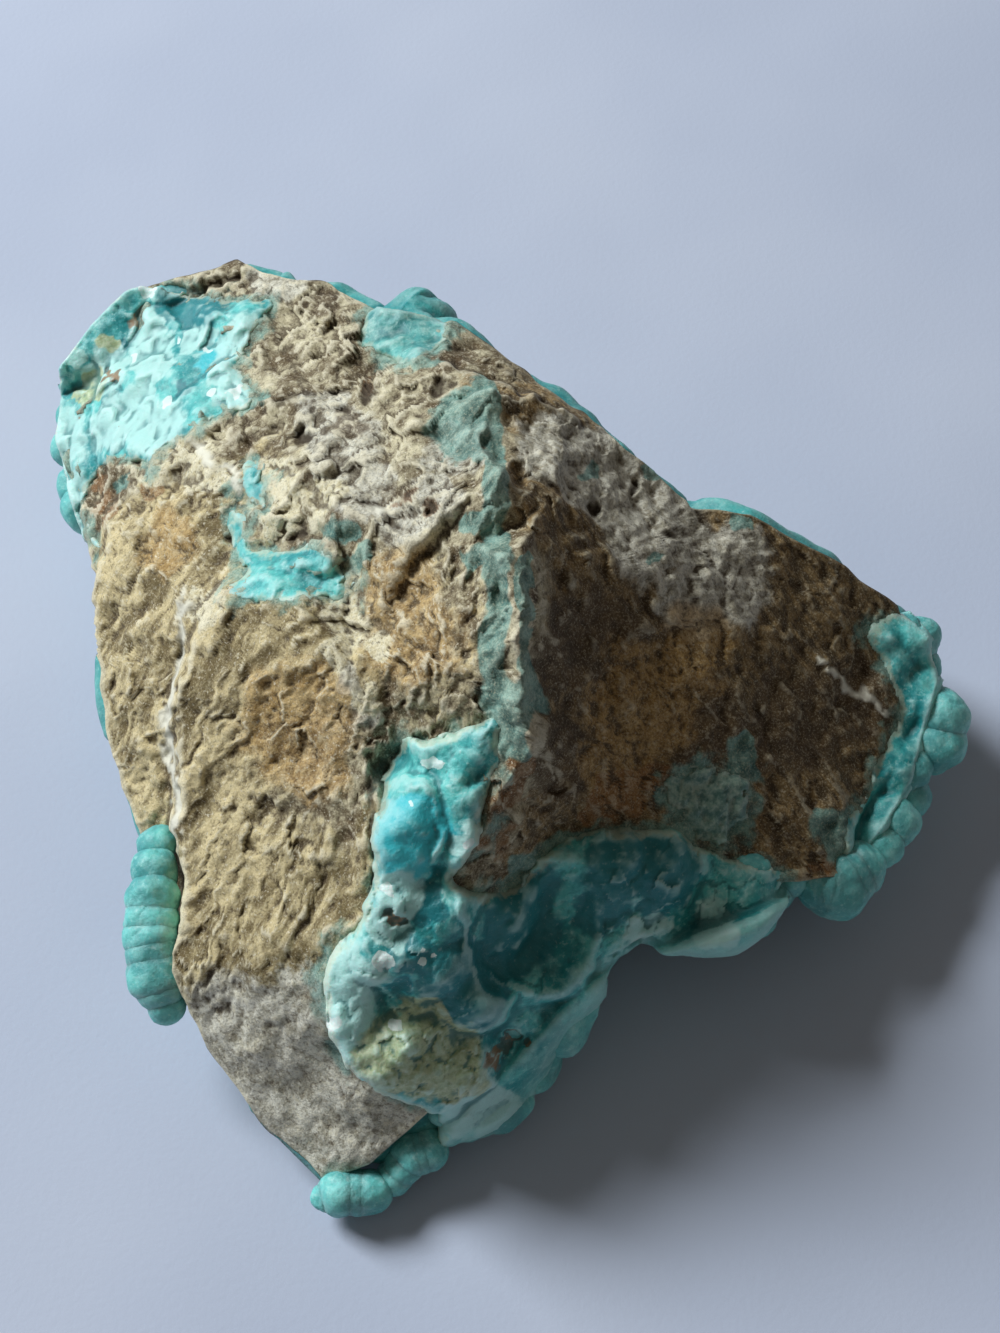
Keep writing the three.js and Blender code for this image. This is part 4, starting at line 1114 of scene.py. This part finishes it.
def filled_in(grid, known, rounds=250):
    """A grid whose unknown values are the average of what surrounds them."""
    filled = np.where(known, grid, grid[known].mean())
    for _ in range(rounds):
        filled = np.where(known, grid, softened(filled, 1))
    return filled


MELT, KEEP = 1.4, 0.5  # how far the creases of a sheet are evened out, and the share of them that stays
FUSION = 0.8  # the length over which the lobes of a sheet fuse


def torn_depth(ab, flat, push, edges, ragged, outside, beyond):
    """How far places lie inside the outlines of a sheet, less than 0 outside them: the outlines are read at
    places that noise and chips push about. No sheet runs further than beyond past the stone's outline."""
    torn = ragged * (push + 0.3 * np.stack([chips(flat, 1.6, seed) for seed in (361, 371)], -1))
    past = np.maximum(0, outside)
    torn = torn * (1 - 0.7 * eased(past, 0, 1.5))[..., None]
    depth = np.max([depth_inside(ab + torn, edge) for edge in edges], axis=0) + 0.35 * eased(past, 0, 1)
    return np.minimum(depth, beyond - outside)


def heaped_levels(across, uphill, push, heap, scoop):
    """The outward, middle and inward levels of a heap of lobes, and beside them a thin sheet at the middle
    level, filled in from what is around."""
    groups = [np.array(group, float) for group in heap]
    groups = [np.concatenate([on_break(group[:, :3]), group[:, 3:]], axis=1) for group in groups]
    scoop_ab = None if scoop is None else (*on_break(np.array(scoop[:3], float)), scoop[3])
    top, low = sheet_levels(across + push[..., 0], uphill + push[..., 1], groups, scoop_ab, FUSION)
    lobed = top - low > 0.3
    middle = filled_in((top + low) / 2, lobed)
    return np.where(lobed, top, middle + 1), middle, np.where(lobed, low, middle - 1)


def sheet_relief(p, ab, wander, masks, smooth, relief):
    """The small relief of a sheet: the crust's own, its broken faces, the raised rims, less rusty cracks."""
    rise = crust_detail(p, smooth(ab, masks)) + 0.3 * noise(p, 3.0, 291)
    rise = rise + relief(p, ab)
    for height, wide, line in RIMS.values():
        rise = rise + height * (1 - eased(beside(wander * 0.4 + ab * 0.6, line), 0.2 * wide, wide))
    return rise - 0.5 * np.maximum(masks["rust"] - masks["yellow"], 0)


def build_patch(name, outlines, heap, material, smooth, relief, scoop=None, nodes=(), cell=0.2, coat=0.9,
                width=1.8, ragged=0.8, bedding=0.6, dull=0.0, beyond=30, blur=0):
    """A sheet of crust inside closed outlines on the break. Its outward level is the fused lobes of the heap
    or the stone's broken side and a coat, whichever is higher, melted together, with a rounded border; its
    inward level is the lobes' near halves. Under the broken side it ends inside the stone."""
    edges = [curved(OUTLINES[key]) for key in outlines]
    every = np.concatenate(edges)
    ways = (np.arange(u - 1.5, v + 1.5, cell) for u, v in zip(every.min(0), every.max(0)))
    across, uphill = np.meshgrid(*ways, indexing="ij")
    ab = np.stack([across, uphill], -1)
    flat = off_break(across, uphill, 0 * across)
    push = np.stack([0.45 * noise(flat, 2.4, s) + 0.2 * noise(flat, 0.9, s + 1) for s in (251, 261)], -1)
    outside = np.hypot(across, uphill) - outline_reach(np.arctan2(uphill, across))
    past = np.maximum(0, outside)
    depth = torn_depth(ab, flat, push, edges, ragged, outside, beyond)

    ground, _, _ = broken_side(across, uphill)
    over = stone_levels(across, uphill)[0] != MISSED
    ground = filled_in(ground, over, 80)
    top, middle, low = ground - 9, ground - 3, ground - 3
    if heap:
        top, middle, low = heaped_levels(across, uphill, push, heap, scoop)
    laid = softened(ground, int((bedding / cell) ** 2)) + coat * eased(depth, -0.3, 2.4) - 1.1 * past
    top = melted(np.where(past < 6, np.maximum(top, laid), top), cell, MELT, KEEP)
    flush = laid - 0.25 * eased(past, 0, 2)
    top = softened(np.where(past < 2, np.maximum(top, flush), top), 3)
    hanging = np.maximum(np.minimum(middle, top - 1.0), ground - 0.5 - 2.2 * past)
    middle = softened(np.where(over, ground - 0.35, hanging), 6)
    low = np.where(over, ground - 2.5, np.maximum(low, ground - 2.5 - 3 * past))
    low = np.minimum(softened(low, 6), middle - 0.6)

    p = off_break(across, uphill, top)
    wander = ab + 0.8 * np.stack([layered(p, 1.6, seed, 3) for seed in (271, 281)], -1)
    masks = {key: spots(wander, places) for key, places in CRUST_SPOTS.items()}
    rise = softened(sheet_relief(p, ab, wander, masks, smooth, relief), blur)
    rise = rise * calm(across, uphill, softened(top, 3)) * (1 - 0.7 * eased(past, 0.5, 2.5))
    wall = softened(np.where(over, 0.5, 1.0) * width, 8)
    round_in = np.sqrt(1 - (1 - np.clip(depth / wall, 0, 1)) ** 2)
    level = middle + (top - middle) * round_in + rise * eased(depth, 0.2, 1.4)
    under = middle + (low - middle) * round_in + 0.2 * noise(p, 2.0, 351) * round_in
    under = np.minimum(under, level - 0.05)
    cells = kept_cells(depth > 0)
    body, faces, used, inner = closed_sheets(across, uphill, level, under, middle, cells)
    body[:, 2] = np.maximum(body[:, 2], 0)

    # the ridge and edge masks set painted highlights on the crust's ridges and painted shade in its hollows
    masks["ridge"] = hollowness(level, cell, 0.9)
    masks["edge"] = hollowness(level, cell, 0.4)
    masks["thin"] = np.where(over, 0, 1 - eased(depth, 0.2, 3.0))
    masks["border"] = np.where(over, 1 - eased(depth, 0.2, 1.6), 0)
    masks["dull"] = np.full(across.shape, dull)
    values = {key: mask.ravel() for key, mask in masks.items()}
    per_point = {key: np.concatenate([value[used], value[inner]]) for key, value in values.items()}
    return mesh_piece(name, body, faces, material, "blue_green_crust", nodes, **per_point)


def build_lobes(name, balls, material, rows=26, turns=44):
    """Round lobes along the edge of the stone, each a closed ball on rings of latitude. The radius swells
    with noise and carries the crust's relief, and nothing reaches below the table."""
    balls = np.array(balls, float)
    tilt = math.pi * np.arange(1, rows) / rows
    turn = 2 * math.pi * np.arange(turns) / turns
    ring = [np.outer(np.sin(tilt), np.cos(turn)), np.outer(np.sin(tilt), np.sin(turn)),
            np.outer(np.cos(tilt), np.ones(turns))]
    ways = np.concatenate([np.stack(ring, -1).reshape(-1, 3), [[0, 0, 1], [0, 0, -1]]])
    p = balls[:, None, :3] + ways * balls[:, None, 3:]
    relief = crust_detail(p, np.full(p.shape[:-1], 0.6))
    swell = 0.14 * balls[:, 3:] * noise(p, 2.6, 381) + relief - 0.15
    p = p + ways * swell[..., None]
    p[..., 2] = np.maximum(p[..., 2], 0)

    row, at = np.meshgrid(np.arange(rows - 2), np.arange(turns), indexing="ij")
    here, after = row * turns + at, row * turns + (at + 1) % turns
    first, second = np.arange(turns), (np.arange(turns) + 1) % turns
    last, top = (rows - 2) * turns, (rows - 1) * turns
    corners = [
        (here, here + turns, after + turns), (here, after + turns, after),
        (np.full(turns, top), first, second), (np.full(turns, top + 1), last + second, last + first),
    ]
    faces = np.concatenate([np.stack(three, -1).reshape(-1, 3) for three in corners])
    faces = oriented(p[0], faces)
    every = (faces + len(ways) * np.arange(len(balls))[:, None, None]).reshape(-1, 3)
    # the swell of each lobe sets its painted highlight where it rises and painted shade where it sinks
    masks = {"ridge": np.clip(0.5 + swell / 1.2, 0.2, 0.9)}
    masks["edge"] = np.full(len(balls) * len(ways), 0.5)
    masks["thin"] = np.full(len(balls) * len(ways), 0.45)
    return mesh_piece(name, p.reshape(-1, 3), every, material, "blue_green_crust", **masks)


def linked(balls, between=2):
    """A row of balls with more at even steps between neighbours, so that it reads as one swelling."""
    balls = np.array(balls, float)
    steps = np.arange((len(balls) - 1) * between + 1) / between
    columns = [np.interp(steps, np.arange(len(balls)), column) for column in balls.T]
    return [tuple(ball) for ball in np.stack(columns, -1)]


def shrunk(balls, less):
    """Balls with their radii made smaller by a length."""
    return [(*ball[:3], ball[3] - less) for ball in balls]


# ---------------------------------------------------------------- finishes


class Wire:
    """An output of a node. Arithmetic on it adds the Math node that works it out."""

    def __init__(self, tree, socket=None):
        self.tree, self.socket = tree, socket

    def node(self, kind, settings=None, values=None, output=0):
        """Adds a node: its settings first, then the values or links of its sockets, by name or number."""
        made = self.tree.nodes.new("ShaderNode" + kind)
        for key, value in (settings or {}).items():
            setattr(made, key, value)
        for key, value in (values or {}).items():
            if isinstance(value, Wire):
                self.tree.links.new(value.socket, made.inputs[key])
            else:
                made.inputs[key].default_value = value
        return Wire(self.tree, made.outputs[output] if len(made.outputs) else None)

    def math(self, operation, *values):
        return self.node("Math", {"operation": operation}, dict(enumerate(values)))

    def __add__(self, other):
        return self.math("ADD", self, other)

    __radd__ = __add__

    def __sub__(self, other):
        return self.math("SUBTRACT", self, other)

    def __rsub__(self, other):
        return self.math("SUBTRACT", other, self)

    def __mul__(self, other):
        return self.math("MULTIPLY", self, other)

    __rmul__ = __mul__

    def smooth(self, low, high):
        """0 below low, 1 above high, and a smooth step between them."""
        ranges = {"Value": self, "From Min": low, "From Max": high}
        return self.node("MapRange", {"interpolation_type": "SMOOTHSTEP"}, ranges)

    def blend(self, first, second):
        """The first colour where this is 0 and the second where it is 1."""
        return self.node("Mix", {"data_type": "RGBA"}, {0: self, 6: first, 7: second}, 2)


def colour(red, green, blue):
    """A screen colour, 0 to 255, as the linear values that a shader takes."""
    linear = [v / 3294.6 if v <= 10 else ((v / 255 + 0.055) / 1.055) ** 2.4 for v in (red, green, blue)]
    return (*linear, 1.0)


def new_finish(name):
    """An empty material, a wire to start its nodes from, and the place on the object in metres."""
    material = bpy.data.materials.new(name)
    material.use_nodes = True
    material.node_tree.nodes.clear()
    start = Wire(material.node_tree)
    place = start.node("TexCoord", output="Object")
    return material, start, place


def speckle(place, size, detail=4.0, rough=0.55, twist=0.0):
    """Cloudy noise about 0.5, with features of so many millimetres."""
    values = {"Vector": place, "Scale": 1 / (size * MM), "Detail": detail, "Roughness": rough}
    return place.node("TexNoise", {}, {**values, "Distortion": twist})


def streaked(place, along, long_way, short_way):
    """Noise drawn out along one direction: features so many millimetres long and wide."""
    along = np.array(along) / np.linalg.norm(along)
    aside = np.cross(along, OUTWARD)
    aside /= np.linalg.norm(aside)
    axes = [(along, long_way), (aside, short_way), (np.cross(along, aside), short_way)]
    dot = {"operation": "DOT_PRODUCT"}
    parts = [
        place.node("VectorMath", dot, {0: place, 1: tuple(axis)}, "Value") * (1 / (size * MM))
        for axis, size in axes
    ]
    turned = place.node("CombineXYZ", {}, dict(enumerate(parts)))
    return place.node("TexNoise", {}, {"Vector": turned, "Scale": 1.0, "Detail": 5.0, "Roughness": 0.6})


def mask_of(start, name):
    """The mask of that name, which the mesh carries."""
    return start.node("Attribute", {"attribute_name": name}, {}, "Fac")


def coated(base, coats):
    """A colour with others laid over it in turn, each written as (how much of it shows, colour)."""
    for share, tint in coats:
        base = share.blend(base, tint)
    return base


STRIPES_WAY = (-0.585, -0.7015, -0.405)  # which way the stripes of colour run on the facets,
FALLS_WAY = (0.62, -0.62, -0.48)  # and on the long slope


def stone_finish():
    """Broken stone: tan and brown ground by region, cream and grey patches, painted shade in hollows, painted
    highlights on ridges.
    """
    material, start, place = new_finish("broken_stone")
    grain = speckle(place, 0.5, 5.0, 0.65)
    cloud = speckle(place, 5.0, 6.0, 0.6)
    blotch = speckle(place, 1.8, 5.0, 0.6)
    ridge = mask_of(start, "ridge")
    broken = (blotch - 0.5) * 0.9 + (grain - 0.5) * 0.4 + (cloud - 0.5) * 0.8
    stripes = streaked(place, STRIPES_WAY, 11.0, 1.2)

    def patch(name, low=0.25, high=0.75):
        """How much of a patch shows: its mask with a ragged border."""
        return (mask_of(start, name) + broken).smooth(low, high)

    groove = mask_of(start, "groove")
    edge = mask_of(start, "edge")
    ground = (cloud * 0.5 + blotch * 0.5).smooth(0.4, 0.6).blend(colour(96, 80, 54), colour(202, 192, 160))
    tan = (stripes * 0.55 + groove * 0.25 + cloud * 0.2).smooth(0.38, 0.6)
    tan = tan.blend(colour(112, 96, 60), colour(212, 194, 148))
    tan = (blotch.smooth(0.52, 0.75) * 0.3).blend(tan, colour(154, 142, 104))
    falls = streaked(place, FALLS_WAY, 6.0, 0.8)
    brown = (falls * 0.6 + blotch * 0.4).smooth(0.4, 0.62).blend(colour(78, 62, 38), colour(146, 120, 78))
    grey = (grain * 0.5 + blotch * 0.5).smooth(0.4, 0.6).blend(colour(156, 151, 134), colour(222, 219, 204))
    golden = grain.smooth(0.3, 0.7).blend(colour(150, 112, 56), colour(210, 172, 108))
    cream = grain.smooth(0.3, 0.7).blend(colour(204, 190, 148), colour(236, 230, 204))
    teal = blotch.smooth(0.3, 0.7).blend(colour(54, 104, 98), colour(132, 180, 170))
    lighter = 1 - mask_of(start, "brown") * 0.6
    mottle = speckle(place, 0.9, 4.0, 0.7)
    flecks = speckle(place, 0.32, 2.0, 0.5).smooth(0.63, 0.7)
    soot = speckle(place, 0.38, 2.0, 0.6).smooth(0.58, 0.68)
    sand = speckle(place, 0.2, 3.0, 0.7)
    base = coated(ground, [
        (patch("tan", 0.3, 0.6), tan),
        (patch("brown", 0.3, 0.6), brown),
        (patch("front", 0.3, 0.6), grey),
        (patch("grey") * 0.85, grey),
        (patch("dark", 0.4, 0.9) * 0.75, colour(84, 66, 44)),
        (patch("golden", 0.4, 1.1) * 0.65, golden),
        (patch("rust", 0.4, 0.8) * 0.65, colour(138, 92, 48)),
        (patch("cream", 0.35, 0.75) * 0.9, cream),
        (mottle.smooth(0.54, 0.66) * lighter * 0.35, colour(218, 206, 172)),
        ((1 - mottle.smooth(0.34, 0.46)) * 0.4, colour(88, 70, 44)),
        (flecks * lighter * 0.55, colour(230, 222, 200)),
        (soot * 0.5, colour(72, 56, 36)),
        # painted highlights on ridges and edges and painted shade in hollows, by the ridge and edge masks
        (ridge.smooth(0.62, 0.95) * lighter * 0.45, colour(226, 216, 186)),
        ((1 - ridge.smooth(0.08, 0.42)) * 0.6, colour(70, 54, 34)),
        (edge.smooth(0.65, 0.95) * lighter * 0.3, colour(232, 224, 200)),
        ((1 - edge.smooth(0.08, 0.35)) * 0.5, colour(62, 48, 30)),
        (patch("teal", 0.4, 0.85) * 0.75, teal),
        (sand.smooth(0.5, 0.68) * 0.3, colour(226, 214, 182)),
        ((1 - sand.smooth(0.32, 0.5)) * 0.35, colour(60, 46, 28)),
        # painted shade in the pits and cracks
        (mask_of(start, "pit_shade") * 0.8, colour(48, 36, 22)),
        (mask_of(start, "white") * 0.85, colour(230, 226, 208)),
    ])
    height = grain * 0.5 + speckle(place, 0.18, 3.0, 0.6) * 0.3 + blotch * 0.5
    normal = start.node("Bump", {}, {"Strength": 0.7, "Distance": 0.35 * MM, "Height": height})
    rough = 0.8 + (grain - 0.5) * 0.25
    shader = start.node("BsdfPrincipled", {}, {
        "Base Color": base, "Roughness": rough, "Normal": normal, "Specular IOR Level": 0.35,
    })
    start.node("OutputMaterial", {}, {"Surface": shader})
    return material


def crust_finish():
    """Hemimorphite crust: blue-green, painted shade in hollows, painted highlights on ridges, waxy, a little
    translucent.
    """
    material, start, place = new_finish("blue_green_crust")
    grain = speckle(place, 0.6, 5.0, 0.6)
    cloud = speckle(place, 5.5, 5.0, 0.6, 0.4)
    blotch = speckle(place, 1.7, 5.0, 0.6)
    ridge = mask_of(start, "ridge")
    broken = (blotch - 0.5) * 0.8 + (grain - 0.5) * 0.3

    def patch(name, low=0.3, high=0.8):
        """How much of a patch shows: its mask with a ragged border."""
        return (mask_of(start, name) + broken).smooth(low, high)

    edge = mask_of(start, "edge")
    base = cloud.smooth(0.38, 0.62).blend(colour(32, 148, 150), colour(96, 200, 194))
    cells = speckle(place, 0.9, 3.0, 0.7)
    yellow = grain.smooth(0.3, 0.7).blend(colour(160, 168, 112), colour(208, 214, 172))
    border = (mask_of(start, "border") + (blotch - 0.5) * 2.0).smooth(0.5, 1.0)
    dull = cells.smooth(0.35, 0.65).blend(colour(78, 108, 98), colour(156, 172, 154))
    frost = speckle(place, 0.45, 3.0, 0.6).smooth(0.6, 0.74)
    base = coated(base, [
        (blotch.smooth(0.45, 0.7) * 0.5, colour(158, 216, 208)),
        (cells.smooth(0.52, 0.64) * 0.35, colour(172, 226, 218)),
        ((1 - cells.smooth(0.36, 0.48)) * 0.35, colour(20, 118, 124)),
        (patch("bright") * 0.85, colour(56, 196, 206)),
        # deep teal: partly the crust's own colour, partly painted shade in the bowl, on the apron and in the
        # upper patch's crevices
        (patch("deep") * 0.85, colour(6, 116, 124)),
        (patch("pale", 0.35, 0.85) * 0.85, colour(186, 228, 220)),
        (patch("yellow", 0.35, 0.8) * 0.85, yellow),
        (patch("rust", 0.35, 0.7) * 0.85, colour(150, 104, 56)),
        # painted shade in hollows and painted highlights on ridges and edges, by the ridge and edge masks
        ((1 - ridge.smooth(0.1, 0.5)) * 0.55, colour(30, 118, 122)),
        (ridge.smooth(0.55, 0.95) * 0.35, colour(196, 234, 226)),
        ((1 - edge.smooth(0.15, 0.45)) * 0.4, colour(34, 112, 114)),
        (edge.smooth(0.6, 0.95) * 0.2, colour(218, 242, 236)),
        (mask_of(start, "thin") * 0.5, colour(158, 218, 210)),
        (border * 0.5, colour(210, 208, 176)),
        (mask_of(start, "dull"), dull),
        (frost * 0.2, colour(214, 238, 232)),
        # white: real specks on the front mass, painted highlights on the facets of the upper patch
        (patch("white", 0.55, 0.8) * 0.8, colour(232, 244, 238)),
    ])
    height = grain * 0.5 + speckle(place, 0.22, 3.0, 0.6) * 0.25 + blotch * 0.6
    normal = start.node("Bump", {}, {"Strength": 0.6, "Distance": 0.35 * MM, "Height": height})
    rough = 0.5 + (grain - 0.5) * 0.35
    shader = start.node("BsdfPrincipled", {}, {
        "Base Color": base, "Roughness": rough, "Normal": normal, "IOR": 1.6,
        "Subsurface Weight": 0.35, "Subsurface Radius": (0.5, 1.0, 0.9), "Subsurface Scale": 1.6 * MM,
        "Specular IOR Level": 0.35, "Coat Weight": 0.04, "Coat Roughness": 0.3,
    })
    start.node("OutputMaterial", {}, {"Surface": shader})
    return material


def paper_finish():
    """Pale paper: one cool colour with faint fibres."""
    material, start, place = new_finish("pale_paper")
    cloud = speckle(place, 60.0, 3.0, 0.5)
    fibre = speckle(place, 0.7, 3.0, 0.6)
    base = cloud.smooth(0.3, 0.7).blend(colour(182, 190, 209), colour(190, 197, 214))
    height = fibre * 0.5 + speckle(place, 45.0, 2.0, 0.4) * 18.0
    normal = start.node("Bump", {}, {"Strength": 0.25, "Distance": 0.2 * MM, "Height": height})
    shader = start.node("BsdfPrincipled", {}, {"Base Color": base, "Roughness": 0.85, "Normal": normal})
    start.node("OutputMaterial", {}, {"Surface": shader})
    return material


# ---------------------------------------------------------------- the specimen

stone_material = stone_finish()
crust_material = crust_finish()

build_stone(stone_material)
build_back_crust(crust_material)


def mass_smooth(ab, masks):
    """The long dome, the pale cheek and the glassy lobes are smooth; the rest is grainy."""
    return np.clip(masks["bright"] + 0.7 * masks["deep"] + 0.6 * spots(ab, GLASSY), 0, 0.9)


def even(amount):
    """The same smoothness everywhere."""
    return lambda ab, masks: np.full(ab.shape[:-1], amount)


def crumple(p, ab):
    """Uneven swellings and broken faces of the front mass, coarser where it is grainy."""
    sharp = 0.05 + 0.16 * spots(ab, GRAINY, 0.4)
    broad = 0.3 * noise(p, 4.2, 335) + 0.32 * noise(p, 2.1, 331) + 0.14 * noise(p, 1.1, 333)
    return broad + sharp * chips(p, 1.9, 341)


def crystals(p, ab):
    """Broken crystal faces of the upper patch: large, middling and small chips."""
    bent = p + 0.5 * noise(p, 1.6, 305)[..., None]
    return 0.6 * chips(bent, 4.6, 311) + 0.2 * chips(bent, 2.2, 321) + 0.15 * noise(p, 1.0, 325)


MASS = ("long_dome", "side_dome", "neck", "cheek", "pale_dome", "bowl_wall", "apron_top")
COVERED = 0.35  # how much smaller a ball is made under a sheet of crust

edge = LOBES["right_edge"]
right = LOBES["front_right"]
rim = LOBES["apron_rim"]
front = [*(LOBES[k] for k in MASS), right[:3], right[3:6], right[6:], rim[:3], rim[3:6], rim[6:]]
hanging = [*linked(LOBES["left_edge"][:5]), *linked(edge[:3]), *linked(LOBES["front_toe"])]
covered = shrunk([*edge[3:], *LOBES["upper_edge"], *right, *rim], COVERED)

build_patch("front_mass", ["front"], front, crust_material, mass_smooth, crumple, BOWL, cell=0.18)
build_patch("upper_patch", ["upper"], [LOBES["upper_edge"]], crust_material, even(0.95), crystals,
            ragged=1.2, bedding=1.3, beyond=0.3, blur=2)
build_patch("rear_dome", ["rear"], [LOBES["rear_dome"]], crust_material, even(0.8), crumple, dull=0.3,
            beyond=0.3)
build_patch("slope_patch", ["slope"], [], crust_material, even(0.6), crystals, nodes=["slope_crust"],
            coat=0.35, ragged=2.0, dull=0.85)
build_patch("right_edge", ["right"], [edge[3:]], crust_material, even(0.8), crumple, beyond=1.2)
build_patch("pocket_band", ["pocket_band", "pocket_eye"], [], crust_material, even(0.7), crumple,
            nodes=["pocket_crust"], cell=0.15, coat=0.6, width=1.2, ragged=1.3)
build_lobes("edge_lobes", hanging + covered, crust_material)

# ---------------------------------------------------------------- floor, camera and light


def build_floor(material):
    """A wide sheet of paper under the specimen: a flat square, its edges far outside the view."""
    half = 1.5
    mesh = bpy.data.meshes.new("paper")
    corners = [(-half, -half, 0), (half, -half, 0), (half, half, 0), (-half, half, 0)]
    mesh.from_pydata(corners, [], [(0, 1, 2, 3)])
    mesh.materials.append(material)
    floor = bpy.data.objects.new("paper", mesh)
    bpy.context.scene.collection.objects.link(floor)
    floor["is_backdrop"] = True


def build_camera():
    """Looks down from the front at the place looked at. The shift sets the specimen in the frame."""
    lens = bpy.data.cameras.new("camera")
    lens.lens = LENS
    lens.sensor_width = FILM
    lens.shift_y = SHIFT_UP
    lens.clip_start = 0.01
    camera = bpy.data.objects.new("camera", lens)
    bpy.context.scene.collection.objects.link(camera)
    eye, _ = sight(CENTRE_ACROSS, CENTRE_DOWN)
    camera.location = eye * MM
    camera.rotation_euler = (math.radians(90) - CAMERA_TILT, 0, 0)
    bpy.context.scene.camera = camera


def build_lamp(name, place, size, watts, tint):
    """A square soft lamp that looks at the middle of the specimen, 20 mm above the table."""
    light = bpy.data.lights.new(name, "AREA")
    light.size = size
    light.energy = watts
    light.color = tint
    lamp = bpy.data.objects.new(name, light)
    bpy.context.scene.collection.objects.link(lamp)
    away = np.array(place, float)
    lamp.location = away
    flat = math.hypot(away[0], away[1])
    lamp.rotation_euler = (math.atan2(flat, away[2] - 0.02), 0, math.atan2(away[1], away[0]) + math.pi / 2)


def build_sky(tint, strength):
    """Even light from all round, which fills the shadows."""
    sky = bpy.data.worlds.new("sky")
    sky.use_nodes = True
    background = sky.node_tree.nodes["Background"]
    background.inputs["Color"].default_value = tint
    background.inputs["Strength"].default_value = strength
    bpy.context.scene.world = sky


build_floor(paper_finish())
build_camera()
build_lamp("window", place=(-0.62, 0.36, 0.68), size=0.36, watts=12.1, tint=(0.9, 0.96, 1.0))
build_sky(tint=(1.0, 0.93, 0.84, 1), strength=0.135)
bpy.context.scene.view_settings.view_transform = "Standard"

corners_of = lambda box: [[float(v) for v in corner] for corner in box]
{"cad": corners_of(cad_box), "visual": corners_of(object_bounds())}
